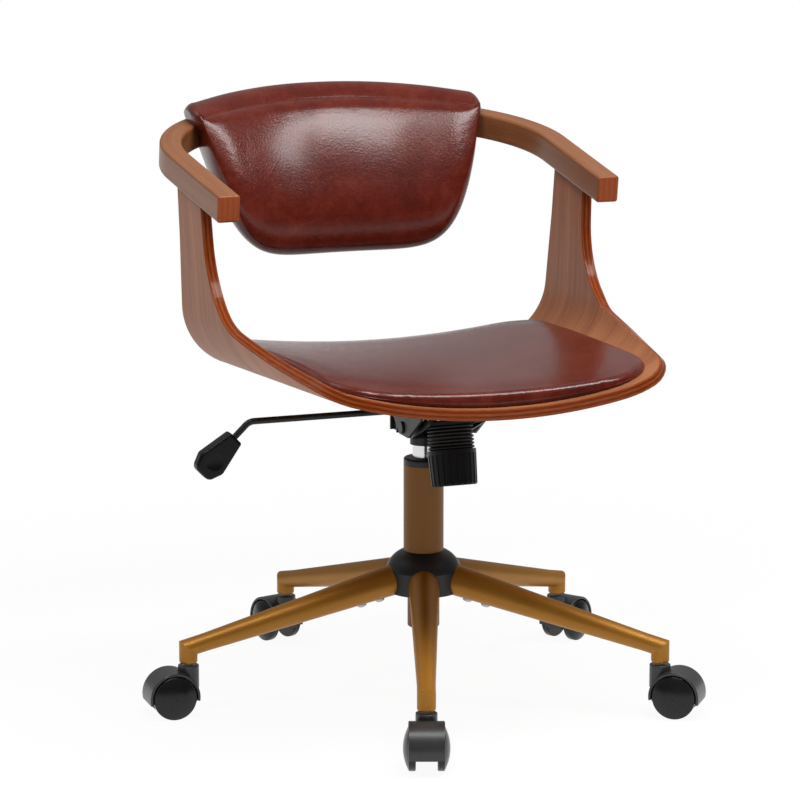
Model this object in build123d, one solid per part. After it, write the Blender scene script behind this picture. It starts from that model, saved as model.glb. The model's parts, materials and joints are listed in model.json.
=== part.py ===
from build123d import *
import math
import os

# Swivel chair. Millimetres, +Z up, the floor at Z 0 and the column on the Z axis.
# The sitter faces -Y. Each node is one piece of the real chair.

# Room between pieces
RUN_FIT = 0.05          # radial room of a shaft that turns or slides in its hole
LAY_FIT = 0.3           # room between curved faces that lie on each other
FACE_FIT = 0.1          # axial room beside a turning piece
PAST = 60.0             # how far a cutter reaches past what it cuts
BOLT_ROOM = 0.15        # radial room round a bolt's shank

# Casters
WHEEL_D = 54.0
TREAD_W = 8.7
DOME_H = 6.3            # how far a wheel's outer face swells
TREAD_GAP = 25.6        # between the treads of one pair
TREAD_ROUND = 1.6
TRAIL = 22.0            # from the stem to the axle, level
AXLE_D = 8.0
HOOD_ROOM = 1.4         # between tread and hood
HOOD_WALL = 3.2
HOOD_BACK = 13.0        # degrees that the hood reaches below the axle at its back
HOOD_FRONT = 9.0        # degrees that the hood reaches below the axle at its front
HOOD_ROUND = 1.2
STEM_D = 11.0
STEM_GRIP = 24.0        # length of the stem inside the leg
STEM_COLLAR_D = 17.0
STEM_COLLAR_H = 3.0
BOSS_D = 26.0
BOSS_GAP = 2.4          # between the boss and the leg's stub

# Star base
LEG_COUNT = 5
LEG_TURN = -19.8        # heading of the front leg from straight ahead
STEM_CIRCLE = 305.0     # radius of the circle of stems
STUB_BOTTOM = 66.0
LEG_TIP_Z = 85.0        # where the leg's axis meets the stub's
LEG_TIP_D = 22.5
LEG_ROOT_D = 39.0
LEG_SLOPE = 13.8
LEG_WALL = 2.5
LEG_END = 22.0          # straight length next to the stub
STUB_ROUND = 3.0
HUB_FLAT = 31.0         # from the column's axis to the flat that a leg butts on
HUB_TOP = 168.0
HUB_BOTTOM = 137.0
SPIGOT_LEN = 78.0
LEG_BOLT_D = 6.0
LEG_BOLT_HEAD_D = 12.0
LEG_BOLT_HEAD_H = 4.5
LEG_BOLT_SHANK = 12.0
LEG_BOLT_AT = (32.0, 56.0)      # from the hub's flat, along the leg
COVER_D = 94.0
COVER_WALL = 2.8
COVER_BOTTOM = 134.0
COVER_TOP = 186.0
COVER_TAPER = 2.5       # how much the cover draws in at its foot
COVER_DOME_R = 33.8
COVER_DOME_IN_R = 32.0

# Gas column
COLUMN_D = 50.0
COLUMN_BORE = 42.0
COLUMN_TOP = 295.0
COLUMN_FOOT = 88.0
COLUMN_FOOT_D = 40.0
COLUMN_FOOT_ROUND = 4.0
TAPER_D = 46.0          # small end of the taper in the hub
FLOOR_PLATE_Z = 96.0
FLOOR_PLATE_T = 5.0
BUSH_LEN = 80.0
BUSH_RIM_H = 9.0
BUSH_RIM_ROUND = 2.5
CYLINDER_D = 28.0
CYLINDER_BORE = 22.0
CYLINDER_FOOT = 128.0
CYLINDER_GLAND = 10.0
CYLINDER_TOP = 355.0
CYLINDER_CAP = 28.0     # solid length above the bore
CYLINDER_TIP_D = 26.0
ROD_D = 8.0
ROD_CLIP_D = 14.0
ROD_CLIP_T = 1.6
ROD_COLLAR_D = 15.0
ROD_COLLAR_T = 4.0
PISTON_Z = 288.0
PISTON_T = 8.0
BEARING_D = 24.0
BEARING_T = 7.0
PIN_D = 6.0

# Tilt mechanism
SOCKET_D = 34.0
SOCKET_BOTTOM = 321.0
SOCKET_TOP = 352.0
HOUSING_HALF = 36.0
HOUSING_WALL = 3.0
HOUSING_FLOOR_Z = 340.0
HOUSING_FLOOR_T = 3.5
HOUSING_BACK = 22.0
TENSION_Y = -89.5       # where the tension axis crosses the housing's tongue
TENSION_Z = 364.0
TENSION_LEAN = 13.5     # the knob's foot leans forward
PIVOT_ARM = 46.0        # from the tension axis back to the tilt pivot
PIVOT_D = 10.0
PIVOT_HEAD_D = 15.0
PIVOT_HEAD_T = 2.5
TONGUE_T = 4.0
TONGUE_FRONT = 28.0
TONGUE_BACK = 30.0
TENSION_BOLT_D = 8.0
TENSION_HEAD_D = 17.0
TENSION_HEAD_T = 6.0
TENSION_HOLE_D = 12.0   # lets the bolt rock as the seat tilts
CROSSBAR_LIFT = 10.0    # from the tongue's middle up to the crossbar
CROSSBAR_T = 4.0
CROSSBAR_HALF = 14.0
BELLOWS_LEN = 30.0
BELLOWS_RIBS = 7
RIB_D = 57.0
RIB_CORE_D = 51.0
RIB_PLACES = (0.0, 0.3, 0.62, 0.92)      # where a rib starts, is full, thins and ends, as shares of the pitch
BELLOWS_WALL = 1.5
SPRING_D = 42.0
SPRING_WIRE = 5.0
WASHER_T = 3.0
KNOB_TOP_D = 60.0
KNOB_FOOT_D = 56.5
KNOB_H = 44.0
KNOB_FLUTES = 22
FLUTE_D = 4.5
KNOB_ROUND = 3.0
KNOB_TRAVEL = 4.5       # how far the knob screws up its bolt
KNOB_FLOOR = 5.0        # left under the knob's bore
BOLT_END_ROOM = 1.0     # between the bolt's end and the bore's floor, with the knob wound right up
FLUTE_SINK = 0.18       # share of a flute's diameter that its axis lies outside the knob
FLUTE_STOP = 0.12       # share of the knob's height left plain above the flutes

# Height lever
LEVER_Z = 365.0
LEVER_D = 8.0
LEVER_INNER = 12.0      # inner end, past the column's axis
LEVER_BUSH_X = -34.0
LEVER_BUSH_D = 15.0
LEVER_BUSH_HALF = 9.6
TRUNNION_D = 6.0
EAR_T = 3.0
EAR_HALF = 6.0
LEVER_BEND_X = -227.0
LEVER_DROP = 44.0       # degrees that the lever's outer end drops
LEVER_BEND_R = 16.0
LEVER_TAIL = 52.0       # from the bend to the end inside the grip
GRIP_START = 26.0       # from the bend to the grip
GRIP_LEN = 61.0
GRIP_NECK_W = 21.0
GRIP_W = 39.0
GRIP_WIDE_AT = 43.0     # from the grip's start to its widest place
GRIP_END_W = 24.0
GRIP_T = 18.0
GRIP_ROUND = 4.0
GRIP_CORNER_R = 9.0
GRIP_NECK_R = 3.0
THUMB_DISH_R = 34.0
THUMB_DISH_DEPTH = 2.0
PIN_GAP = 0.5           # from the lever down to the release pin

# Seat shell: a sheet bent to a shallow dish with two upright arms
PLY = 13.5
SEAT_Z = 401.2          # top of the sheet at the column's axis
SEAT_TILT = 3.96        # the seat falls towards the back
DISH_R = 726.0
DISH_HALF = 184.6       # where the dish turns into the bends
BEND_R = 74.6
ARM_SPLAY = 2.81
ARM_RISE = 190.0        # straight length of each arm before it is trimmed
SEAT_FRONT = -293.0
FRONT_CORNER_R = 95.0
SIDE_RUN = 212.0        # from the middle to the side edge, round the sheet, at the front
SIDE_TOE = 10.5         # the side edge runs outwards to the back
ARM_FRONT = 69.5
ARM_SWEEP_R = 110.0     # side edge into the arm's front edge
ARM_BACK_TOP = 178.0
ARM_BACK_FOOT = 199.0

# Seat plate under the shell
PLATE_T = 3.0
PLATE_HALF = 82.0
PLATE_FRONT = -110.0
PLATE_BACK = 100.0
FLANGE_X = 42.0
FLANGE_T = 3.0
FLANGE_Z = 362.0
FLANGE_DIP = 9.5        # below the pivot
LEVER_NOTCH = 13.0      # half width of the gap that the lever passes
LEVER_NOTCH_TOP = 381.0
SEAT_BOLT_D = 6.0
SEAT_BOLT_HEAD_D = 12.0
SEAT_BOLT_HEAD_T = 4.0
SEAT_BOLT_X = 66.0
SEAT_BOLT_Y = (-88.0, 78.0)

# Seat pad
PAD_HALF = 216.0
PAD_FRONT_HALF = 205.0  # at the front corners
PAD_INSET = 12.0        # behind the sheet's front edge
PAD_BACK = 190.0
PAD_CORNER_R = 88.0
PAD_BACK_R = 60.0
PAD_DRAW = 3.0          # how far the sides draw in between the corners
PAD_CROWN = 35.0        # height above the sheet at the middle
PAD_CROWN_Y = 60.0      # where the crown is highest
PAD_RIM = 12.0          # thickness of the side edges
PAD_END_DROP = 16.0     # how much lower the top is at the front
PAD_ROUND = 7.0
PAD_SWEEP = 1.2         # length of the block that the pad is cut from, to each side of its crown
SEAM_WIDTH = 1.6        # sewn channel round the pads
SEAM_DEPTH = 1.4
BOARD_T = 5.0
BOARD_HALF = 140.0
BOARD_FRONT = -215.0
BOARD_BACK = 140.0

# Arm rail: a bent rail in one plane that rises to the back
RAIL_W = 28.3
RAIL_H = 33.7
RAIL_HALF = 248.0       # half span of the front ends
RAIL_Y = 6.9
RAIL_Z = 625.7
RAIL_SLOPE = 8.29
RAIL_TOE = 1.72         # the arms open towards the back
RAIL_STRAIGHT = 194.5
RAIL_CORNER_R = 193.0
RAIL_BACK_R = 450.0
RAIL_ROUND = 3.0
DOWEL_D = 8.0
DOWEL_DOWN = 24.0
DOWEL_UP = 18.0
DOWEL_Y = (98.0, 152.0)

# Back pad
BACK_HALF = 198.0
BACK_TOP = 730.0
BACK_BOTTOM = 511.0
BACK_ARCH = 11.0        # the top edge is lower at the ends
BACK_END_H = 20.0       # height left at the ends
BACK_SIDE_SHAPE = 6.0   # powers of the lower edge's curve, at the sides
BACK_FOOT_SHAPE = 1.1   # and below
BACK_FRONT_Y = 366.0    # front face at the seam, on the centre line
BACK_FRONT_R = 310.0
BACK_LEAN = 22.7        # degrees that the front face leans back
BACK_REAR_LEAN = 26.0
BACK_REAR_Y = 428.0
BACK_REAR_R = 402.0
BACK_CROWN = 11.0       # how far the front swells
BACK_CROWN_SHARE = 0.06
BACK_BULGE = 5.0        # how far the back swells
BACK_BULGE_SHARE = 0.04
BACK_SEAM_SHARE = 0.35
BACK_SEAM = 17.0        # from the top down to the seam
BACK_STATIONS = (0.0, 0.38, 0.64, 0.82, 0.93, 1.0)
BACK_BOARD_T = 8.0
BACK_BOARD_ANGLE = 17.0
BACK_BOARD_H = 56.0
BACK_BOLT_D = 6.0
BACK_BOLT_HEAD_D = 14.0
BACK_BOLT_HEAD_T = 3.0
BACK_BOLT_ANGLE = 11.5

FAR = 600.0             # reach of cutting tools


def save(name, *solids):
    pieces = [solid for item in solids for solid in item.solids()]
    whole = pieces[0] if len(pieces) == 1 else Compound(children=pieces)
    whole.label = name
    export_step(whole, f"parts/{name}.step")
    print(name, len(pieces), round(sum(piece.volume for piece in pieces)))


def turned(points):
    # solid of revolution about Z from an outline of radius and height
    return revolve(Plane.XZ * make_face(Polyline(*points, close=True)), Axis.Z)


def rod(start, end, radius):
    line = Vector(*end) - Vector(*start)
    return Solid.make_cylinder(radius, line.length, Plane(origin=start, z_dir=line))


def side_prism(points, low, high):
    # outline in Y and Z, extruded along X
    face = Plane.YZ * make_face(Polyline(*points, close=True))
    return Pos(low, 0, 0) * extrude(face, high - low)


def arc_point(centre, radius, degrees):
    angle = math.radians(degrees)
    return (centre[0] + radius * math.cos(angle), centre[1] + radius * math.sin(angle))


def arc(centre, radius, start, end):
    middle = (start + end) / 2
    points = [arc_point(centre, radius, angle) for angle in (start, middle, end)]
    return ThreePointArc(*points)


# Casters: built round the stem's axis, trailing along +X, then set under their legs

AXLE_Z = WHEEL_D / 2
TREAD_IN = TREAD_GAP / 2
TREAD_OUT = TREAD_IN + TREAD_W
DOME_R = WHEEL_D / 2 - TREAD_ROUND
BOSS_TOP = STUB_BOTTOM - BOSS_GAP
HOOD_IN_R = WHEEL_D / 2 + HOOD_ROOM
HOOD_OUT_R = HOOD_IN_R + HOOD_WALL


def caster_wheel(side):
    bore = AXLE_D / 2 + RUN_FIT
    cap = TREAD_OUT + DOME_H / 2
    flat = [Line((bore, TREAD_IN), (DOME_R, TREAD_IN)),
            RadiusArc((DOME_R, TREAD_IN), (WHEEL_D / 2, TREAD_IN + TREAD_ROUND), -TREAD_ROUND),
            Line((WHEEL_D / 2, TREAD_IN + TREAD_ROUND), (WHEEL_D / 2, TREAD_OUT - TREAD_ROUND)),
            RadiusArc((WHEEL_D / 2, TREAD_OUT - TREAD_ROUND), (DOME_R, TREAD_OUT), -TREAD_ROUND),
            RadiusArc((DOME_R, TREAD_OUT), (0, TREAD_OUT + DOME_H), -(DOME_R**2 + DOME_H**2) / (2 * DOME_H)),
            Line((0, TREAD_OUT + DOME_H), (0, cap)),
            Line((0, cap), (bore, cap)),
            Line((bore, cap), (bore, TREAD_IN))]
    wheel = revolve(Plane.XZ * make_face(flat), Axis.Z)
    return Pos(TRAIL, 0, AXLE_Z) * Rot(-90 * side, 0, 0) * wheel


def caster_hood():
    centre = (TRAIL, AXLE_Z)
    inner = arc(centre, HOOD_IN_R, -HOOD_BACK, 180 + HOOD_FRONT)
    outer = arc(centre, HOOD_OUT_R, -HOOD_BACK, 180 + HOOD_FRONT)
    ends = [Line(inner @ 0, outer @ 0), Line(inner @ 1, outer @ 1)]
    shell = extrude(Plane.XZ * make_face([inner, outer] + ends), TREAD_OUT, both=True)
    shell = fillet(shell.edges().filter_by(GeomType.CIRCLE), HOOD_ROUND)
    web_half = TREAD_IN - FACE_FIT
    web = extrude(Plane.XZ * Pos(TRAIL, AXLE_Z) * Circle(HOOD_IN_R + HOOD_WALL / 2), web_half, both=True)
    foot = Pos(TRAIL, 0, AXLE_Z - FAR / 2 - AXLE_D) * Box(FAR, FAR, FAR)
    boss_foot = AXLE_Z + AXLE_D
    boss = Pos(0, 0, boss_foot) * extrude(Circle(BOSS_D / 2), BOSS_TOP - boss_foot)
    boss = fillet(boss.edges().sort_by(Axis.Z)[-1], HOOD_ROUND)
    hood = shell + (web - foot) + boss
    for side in (1, -1):
        well = extrude(Plane.XZ * Pos(TRAIL, AXLE_Z) * Circle(HOOD_IN_R), -side * FAR)
        hood -= Pos(0, side * web_half, 0) * well
    hood -= rod((TRAIL, -FAR, AXLE_Z), (TRAIL, FAR, AXLE_Z), AXLE_D / 2 + RUN_FIT)
    hood -= rod((0, 0, boss_foot + HOOD_WALL), (0, 0, BOSS_TOP + 1), STEM_D / 2 + RUN_FIT)
    hood -= rod((0, 0, BOSS_TOP - STEM_COLLAR_H), (0, 0, BOSS_TOP + 1), STEM_COLLAR_D / 2 + LAY_FIT)
    return hood


def caster_stem():
    stem = rod((0, 0, AXLE_Z + AXLE_D + HOOD_WALL), (0, 0, STUB_BOTTOM + STEM_GRIP), STEM_D / 2)
    collar = rod((0, 0, BOSS_TOP - STEM_COLLAR_H), (0, 0, BOSS_TOP), STEM_COLLAR_D / 2)
    return Part() + stem + collar


def caster_axle():
    reach = TREAD_OUT + DOME_H / 2 - FACE_FIT
    return rod((TRAIL, -reach, AXLE_Z), (TRAIL, reach, AXLE_Z), AXLE_D / 2)


# Star base: one leg built along +X, then turned to its heading

LEG_RUN = (STEM_CIRCLE - HUB_FLAT) / math.cos(math.radians(LEG_SLOPE))
LEG_TIP = Vector(STEM_CIRCLE, 0, LEG_TIP_Z)
LEG_AXIS = Vector(-math.cos(math.radians(LEG_SLOPE)), 0, math.sin(math.radians(LEG_SLOPE)))
LEG_DOWN = Vector(LEG_AXIS.Z * -1, 0, LEG_AXIS.X)
LEG_HEADINGS = [LEG_TURN - 90 + 360 / LEG_COUNT * index for index in range(LEG_COUNT)]


def leg_radius(run):
    share = max(0.0, (run - LEG_END) / (LEG_RUN - LEG_END))
    return (LEG_TIP_D + (LEG_ROOT_D - LEG_TIP_D) * share) / 2


def leg_cone(grow, start, end):
    plane = Plane(origin=LEG_TIP + LEG_AXIS * start, z_dir=LEG_AXIS)
    return Solid.make_cone(leg_radius(start) + grow, leg_radius(end) + grow, end - start, plane)


def leg_bolt_places():
    # seat of each bolt head on the underside of the leg, and the bolt's axis
    places = []
    for step in LEG_BOLT_AT:
        run = LEG_RUN - step
        seat = LEG_TIP + LEG_AXIS * run + LEG_DOWN * (leg_radius(run) - LEG_WALL * 0.6)
        places.append(seat)
    return places


def base_leg():
    tube = leg_cone(0, LEG_END, LEG_RUN + LEG_ROOT_D) + rod(LEG_TIP - LEG_AXIS * LEG_TIP_D,
                                                            LEG_TIP + LEG_AXIS * LEG_END, LEG_TIP_D / 2)
    mitre = Plane(origin=LEG_TIP, z_dir=LEG_AXIS + Vector(0, 0, 1))
    tube = split(tube, mitre, Keep.TOP)
    stub = rod((STEM_CIRCLE, 0, STUB_BOTTOM), (STEM_CIRCLE, 0, LEG_TIP_Z + LEG_TIP_D), LEG_TIP_D / 2)
    stub = split(stub, mitre, Keep.BOTTOM)
    leg = split(Part() + tube + stub, Plane(origin=(HUB_FLAT, 0, 0), z_dir=(1, 0, 0)), Keep.TOP)
    leg = fillet(leg.edges().sort_by(Axis.Z)[0], STUB_ROUND)
    leg -= leg_cone(-LEG_WALL, LEG_END, LEG_RUN + LEG_ROOT_D)
    leg -= rod((STEM_CIRCLE, 0, STUB_BOTTOM - 1), (STEM_CIRCLE, 0, STUB_BOTTOM + STEM_GRIP + LAY_FIT),
               STEM_D / 2 + RUN_FIT)
    for seat in leg_bolt_places():
        leg -= rod(seat, seat + LEG_DOWN * LEG_WALL * 4, LEG_BOLT_HEAD_D / 2 + LAY_FIT)
        leg -= rod(seat - LEG_DOWN * LEG_WALL * 2, seat + LEG_DOWN, LEG_BOLT_D / 2 + BOLT_ROOM)
    return leg


def leg_bolts():
    bolts = []
    for seat in leg_bolt_places():
        head = rod(seat, seat + LEG_DOWN * LEG_BOLT_HEAD_H, LEG_BOLT_HEAD_D / 2)
        rim = head.edges().sort_by_distance(seat + LEG_DOWN * LEG_BOLT_HEAD_H * 2)[0]
        head = head.fillet(LEG_BOLT_HEAD_H * 0.6, [rim])
        shank = rod(seat - LEG_DOWN * LEG_BOLT_SHANK, seat, LEG_BOLT_D / 2)
        bolts.append(Part() + head + shank)
    return bolts


def base_hub():
    hub = Pos(0, 0, HUB_BOTTOM) * extrude(Circle(HUB_FLAT * 2), HUB_TOP - HUB_BOTTOM)
    for heading in LEG_HEADINGS:
        out = Vector(1, 0, 0).rotate(Axis.Z, heading)
        hub = split(hub, Plane(origin=out * HUB_FLAT, z_dir=out), Keep.BOTTOM)
    spigot = leg_cone(-LEG_WALL - LAY_FIT, LEG_RUN - SPIGOT_LEN, LEG_RUN + HUB_FLAT / 5)
    for seat in leg_bolt_places():
        spigot -= rod(seat - LEG_DOWN * (LEG_BOLT_SHANK + 1), seat, LEG_BOLT_D / 2 + BOLT_ROOM)
    for heading in LEG_HEADINGS:
        hub += Rot(0, 0, heading) * spigot
    bore = Solid.make_cone(TAPER_D / 2 + RUN_FIT, COLUMN_D / 2 + RUN_FIT, HUB_TOP - HUB_BOTTOM,
                           Plane(origin=(0, 0, HUB_BOTTOM)))
    return hub - bore - rod((0, 0, HUB_TOP), (0, 0, COVER_TOP), COLUMN_D / 2 + RUN_FIT)


def hub_cover():
    hole = COLUMN_D / 2 + LAY_FIT
    waist_z = COVER_TOP - COVER_D / 4
    foot_r = COVER_D / 2 - COVER_TAPER
    outline = [Line((foot_r - COVER_WALL, COVER_BOTTOM), (foot_r, COVER_BOTTOM)),
               Line((foot_r, COVER_BOTTOM), (COVER_D / 2, waist_z)),
               RadiusArc((COVER_D / 2, waist_z), (hole, COVER_TOP), -COVER_DOME_R),
               Line((hole, COVER_TOP), (hole, COVER_TOP - COVER_WALL)),
               RadiusArc((hole, COVER_TOP - COVER_WALL), (COVER_D / 2 - COVER_WALL, waist_z),
                         COVER_DOME_IN_R),
               Line((COVER_D / 2 - COVER_WALL, waist_z), (foot_r - COVER_WALL, COVER_BOTTOM))]
    cover = revolve(Plane.XZ * make_face(outline), Axis.Z)
    for heading in LEG_HEADINGS:
        cover -= Rot(0, 0, heading) * leg_cone(LAY_FIT, LEG_RUN - COVER_D / 2, LEG_RUN + LEG_WALL)
    return cover


# Gas column

def column_tube():
    plate_top = FLOOR_PLATE_Z + FLOOR_PLATE_T
    foot_bore = COLUMN_FOOT_D / 2 - (TAPER_D - COLUMN_BORE)
    rod_hole = ROD_D / 2 + RUN_FIT
    outline = [(rod_hole, FLOOR_PLATE_Z), (foot_bore, FLOOR_PLATE_Z), (foot_bore, COLUMN_FOOT),
               (COLUMN_FOOT_D / 2, COLUMN_FOOT), (COLUMN_FOOT_D / 2, COVER_BOTTOM - COVER_TAPER),
               (TAPER_D / 2, HUB_BOTTOM), (COLUMN_D / 2, HUB_TOP), (COLUMN_D / 2, COLUMN_TOP),
               (COLUMN_BORE / 2, COLUMN_TOP), (COLUMN_BORE / 2, HUB_BOTTOM + COVER_TAPER),
               (foot_bore, HUB_BOTTOM - COVER_TAPER), (foot_bore, plate_top), (rod_hole, plate_top)]
    tube = turned(outline)
    rims = tube.edges().filter_by(GeomType.CIRCLE).filter_by_position(Axis.Z, COLUMN_FOOT, COLUMN_FOOT)
    rim = rims.sort_by(SortBy.LENGTH)[-1]
    return fillet(rim, COLUMN_FOOT_ROUND * 0.5)


def column_bush():
    inner = CYLINDER_D / 2 + RUN_FIT
    sleeve = COLUMN_BORE / 2 - RUN_FIT
    rim_top = COLUMN_TOP + BUSH_RIM_H
    bush = turned([(inner, COLUMN_TOP - BUSH_LEN), (sleeve, COLUMN_TOP - BUSH_LEN), (sleeve, COLUMN_TOP),
                   (COLUMN_D / 2, COLUMN_TOP), (COLUMN_D / 2, rim_top), (inner, rim_top)])
    rim = bush.edges().filter_by_position(Axis.Z, rim_top, rim_top).sort_by(SortBy.LENGTH)[-1]
    return fillet(rim, BUSH_RIM_ROUND)


def gas_cylinder():
    bore_top = CYLINDER_TOP - CYLINDER_CAP
    bore_foot = CYLINDER_FOOT + CYLINDER_GLAND
    rod_hole = ROD_D / 2 + RUN_FIT
    pin_hole = PIN_D / 2 + RUN_FIT
    return turned([(rod_hole, CYLINDER_FOOT), (CYLINDER_D / 2, CYLINDER_FOOT),
                   (CYLINDER_D / 2, SOCKET_BOTTOM),
                   (CYLINDER_TIP_D / 2, CYLINDER_TOP), (pin_hole, CYLINDER_TOP), (pin_hole, bore_top),
                   (CYLINDER_BORE / 2, bore_top), (CYLINDER_BORE / 2, bore_foot), (rod_hole, bore_foot)])


BEARING_Z = FLOOR_PLATE_Z + FLOOR_PLATE_T
ROD_COLLAR_Z = BEARING_Z + BEARING_T + FACE_FIT
CLIP_Z = FLOOR_PLATE_Z - FACE_FIT - ROD_CLIP_T
CLIP_GROOVE = 1.0


def piston_rod():
    neck = ROD_D / 2 - CLIP_GROOVE
    collar_top = ROD_COLLAR_Z + ROD_COLLAR_T
    clip_top = CLIP_Z + ROD_CLIP_T
    return turned([(0, CLIP_Z - ROD_CLIP_T), (ROD_D / 2, CLIP_Z - ROD_CLIP_T), (ROD_D / 2, CLIP_Z),
                   (neck, CLIP_Z),
                   (neck, clip_top), (ROD_D / 2, clip_top), (ROD_D / 2, ROD_COLLAR_Z),
                   (ROD_COLLAR_D / 2, ROD_COLLAR_Z), (ROD_COLLAR_D / 2, collar_top), (ROD_D / 2, collar_top),
                   (ROD_D / 2, PISTON_Z), (CYLINDER_BORE / 2 - RUN_FIT, PISTON_Z),
                   (CYLINDER_BORE / 2 - RUN_FIT, PISTON_Z + PISTON_T), (0, PISTON_Z + PISTON_T)])


def rod_clip():
    neck = ROD_D / 2 - CLIP_GROOVE + RUN_FIT
    return turned([(neck, CLIP_Z), (ROD_CLIP_D / 2, CLIP_Z), (ROD_CLIP_D / 2, CLIP_Z + ROD_CLIP_T),
                   (neck, CLIP_Z + ROD_CLIP_T)])


def thrust_bearing():
    inner = ROD_D / 2 + RUN_FIT
    return turned([(inner, BEARING_Z), (BEARING_D / 2, BEARING_Z), (BEARING_D / 2, BEARING_Z + BEARING_T),
                   (inner, BEARING_Z + BEARING_T)])


PIN_TOP = LEVER_Z - LEVER_D / 2 - PIN_GAP


def release_pin():
    return rod((0, 0, CYLINDER_TOP - CYLINDER_CAP + PIN_D), (0, 0, PIN_TOP), PIN_D / 2)


# Tilt mechanism: the tension axis leans, with Z of its own frame pointing up along the bolt

LEAN = math.radians(TENSION_LEAN)
TENSION = Plane(origin=(0, TENSION_Y, TENSION_Z), x_dir=(1, 0, 0), z_dir=(0, math.sin(LEAN), math.cos(LEAN)))
PIVOT_Y = TENSION_Y + PIVOT_ARM * math.cos(LEAN)
PIVOT_Z = TENSION_Z - PIVOT_ARM * math.sin(LEAN)
KNOB_TOP = -TONGUE_T / 2 - BELLOWS_LEN
FLANGE_OUT = FLANGE_X + FLANGE_T


def tension_disc(radius, low, high):
    return TENSION * Pos(0, 0, low) * extrude(Circle(radius), high - low)


def tongue_point(along, lift):
    # point in Y and Z, along the tongue and above its middle
    return (TENSION_Y + along * math.cos(LEAN) + lift * math.sin(LEAN),
            TENSION_Z - along * math.sin(LEAN) + lift * math.cos(LEAN))


def tilt_housing():
    inner = HOUSING_HALF - HOUSING_WALL
    floor_top = HOUSING_FLOOR_Z + HOUSING_FLOOR_T
    socket = Pos(0, 0, SOCKET_BOTTOM) * extrude(Circle(SOCKET_D / 2), SOCKET_TOP - SOCKET_BOTTOM)
    rear_top = LEVER_Z - LEVER_D * 1.6
    wall_points = [(HOUSING_BACK, HOUSING_FLOOR_Z), (HOUSING_BACK, rear_top),
                   (PIVOT_Y + PIVOT_D * 2, rear_top), (PIVOT_Y + PIVOT_D, PIVOT_Z + PIVOT_D),
                   tongue_point(TONGUE_BACK, TONGUE_T / 2 + HOUSING_WALL),
                   tongue_point(-TONGUE_FRONT, TONGUE_T / 2 + HOUSING_WALL),
                   tongue_point(-TONGUE_FRONT, -TONGUE_T / 2),
                   tongue_point(TONGUE_BACK, -TONGUE_T / 2 - PIVOT_D),
                   (PIVOT_Y - PIVOT_D, HOUSING_FLOOR_Z)]
    floor_middle = Pos(0, (HOUSING_BACK + PIVOT_Y - PIVOT_D) / 2, (HOUSING_FLOOR_Z + floor_top) / 2)
    housing = socket + floor_middle * Box(
        HOUSING_HALF * 2, HOUSING_BACK - PIVOT_Y + PIVOT_D, HOUSING_FLOOR_T)
    housing += side_prism(wall_points, -HOUSING_HALF, -inner)
    housing += side_prism(wall_points, inner, HOUSING_HALF)
    tongue_y = (TONGUE_BACK - TONGUE_FRONT) / 2
    housing += TENSION * Pos(0, tongue_y, 0) * Box(inner * 2 + 1, TONGUE_BACK + TONGUE_FRONT, TONGUE_T)
    ear_low = HOUSING_FLOOR_Z
    ear_high = LEVER_Z + TRUNNION_D
    for side in (1, -1):
        ear_y = side * (LEVER_BUSH_HALF + FACE_FIT + EAR_T / 2)
        ear = Box(EAR_HALF * 2, EAR_T, ear_high - ear_low)
        housing += Pos(LEVER_BUSH_X, ear_y, (ear_low + ear_high) / 2) * ear
    housing -= rod((LEVER_BUSH_X, -HOUSING_HALF, LEVER_Z), (LEVER_BUSH_X, HOUSING_HALF, LEVER_Z),
                   TRUNNION_D / 2 + RUN_FIT)
    housing -= rod((-FAR, PIVOT_Y, PIVOT_Z), (FAR, PIVOT_Y, PIVOT_Z), PIVOT_D / 2 + RUN_FIT)
    housing -= tension_disc(TENSION_HOLE_D / 2, -TONGUE_T, TONGUE_T)
    housing -= Solid.make_cone(CYLINDER_D / 2 + RUN_FIT, CYLINDER_TIP_D / 2 + RUN_FIT,
                               CYLINDER_TOP - SOCKET_BOTTOM,
                               Plane(origin=(0, 0, SOCKET_BOTTOM)))
    return housing


def tilt_pivot():
    end = FLANGE_OUT + FACE_FIT
    pin = rod((-end, PIVOT_Y, PIVOT_Z), (end, PIVOT_Y, PIVOT_Z), PIVOT_D / 2)
    pin = Part() + pin
    for side in (1, -1):
        start = side * (FLANGE_OUT + FACE_FIT)
        end = side * (FLANGE_OUT + FACE_FIT + PIVOT_HEAD_T)
        pin += rod((start, PIVOT_Y, PIVOT_Z), (end, PIVOT_Y, PIVOT_Z), PIVOT_HEAD_D / 2)
    return pin


def tension_bolt():
    crossbar_top = CROSSBAR_LIFT + CROSSBAR_T
    low = KNOB_TOP - KNOB_H + KNOB_FLOOR + KNOB_TRAVEL + BOLT_END_ROOM
    shank = tension_disc(TENSION_BOLT_D / 2, low, crossbar_top)
    return shank + tension_disc(TENSION_HEAD_D / 2, crossbar_top, crossbar_top + TENSION_HEAD_T)


def tension_bellows():
    # ribs along X first, then stood up on the tension axis
    pitch = BELLOWS_LEN / BELLOWS_RIBS
    circles = []
    for rib in range(BELLOWS_RIBS):
        for share, diameter in zip(RIB_PLACES, (RIB_CORE_D, RIB_D, RIB_D, RIB_CORE_D)):
            place = Plane(origin=((rib + share) * pitch, 0, 0), z_dir=(1, 0, 0))
            circles.append(place * Circle(diameter / 2))
    ribs = loft(circles, ruled=True)
    bore = rod((-1, 0, 0), (BELLOWS_LEN, 0, 0), RIB_CORE_D / 2 - BELLOWS_WALL)
    return TENSION * Pos(0, 0, KNOB_TOP) * Rot(0, -90, 0) * (ribs - bore)


def tension_spring():
    low = KNOB_TOP + WASHER_T
    outer = tension_disc(SPRING_D / 2, low, -TONGUE_T / 2)
    return outer - tension_disc(SPRING_D / 2 - SPRING_WIRE, low, -TONGUE_T / 2)


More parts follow.
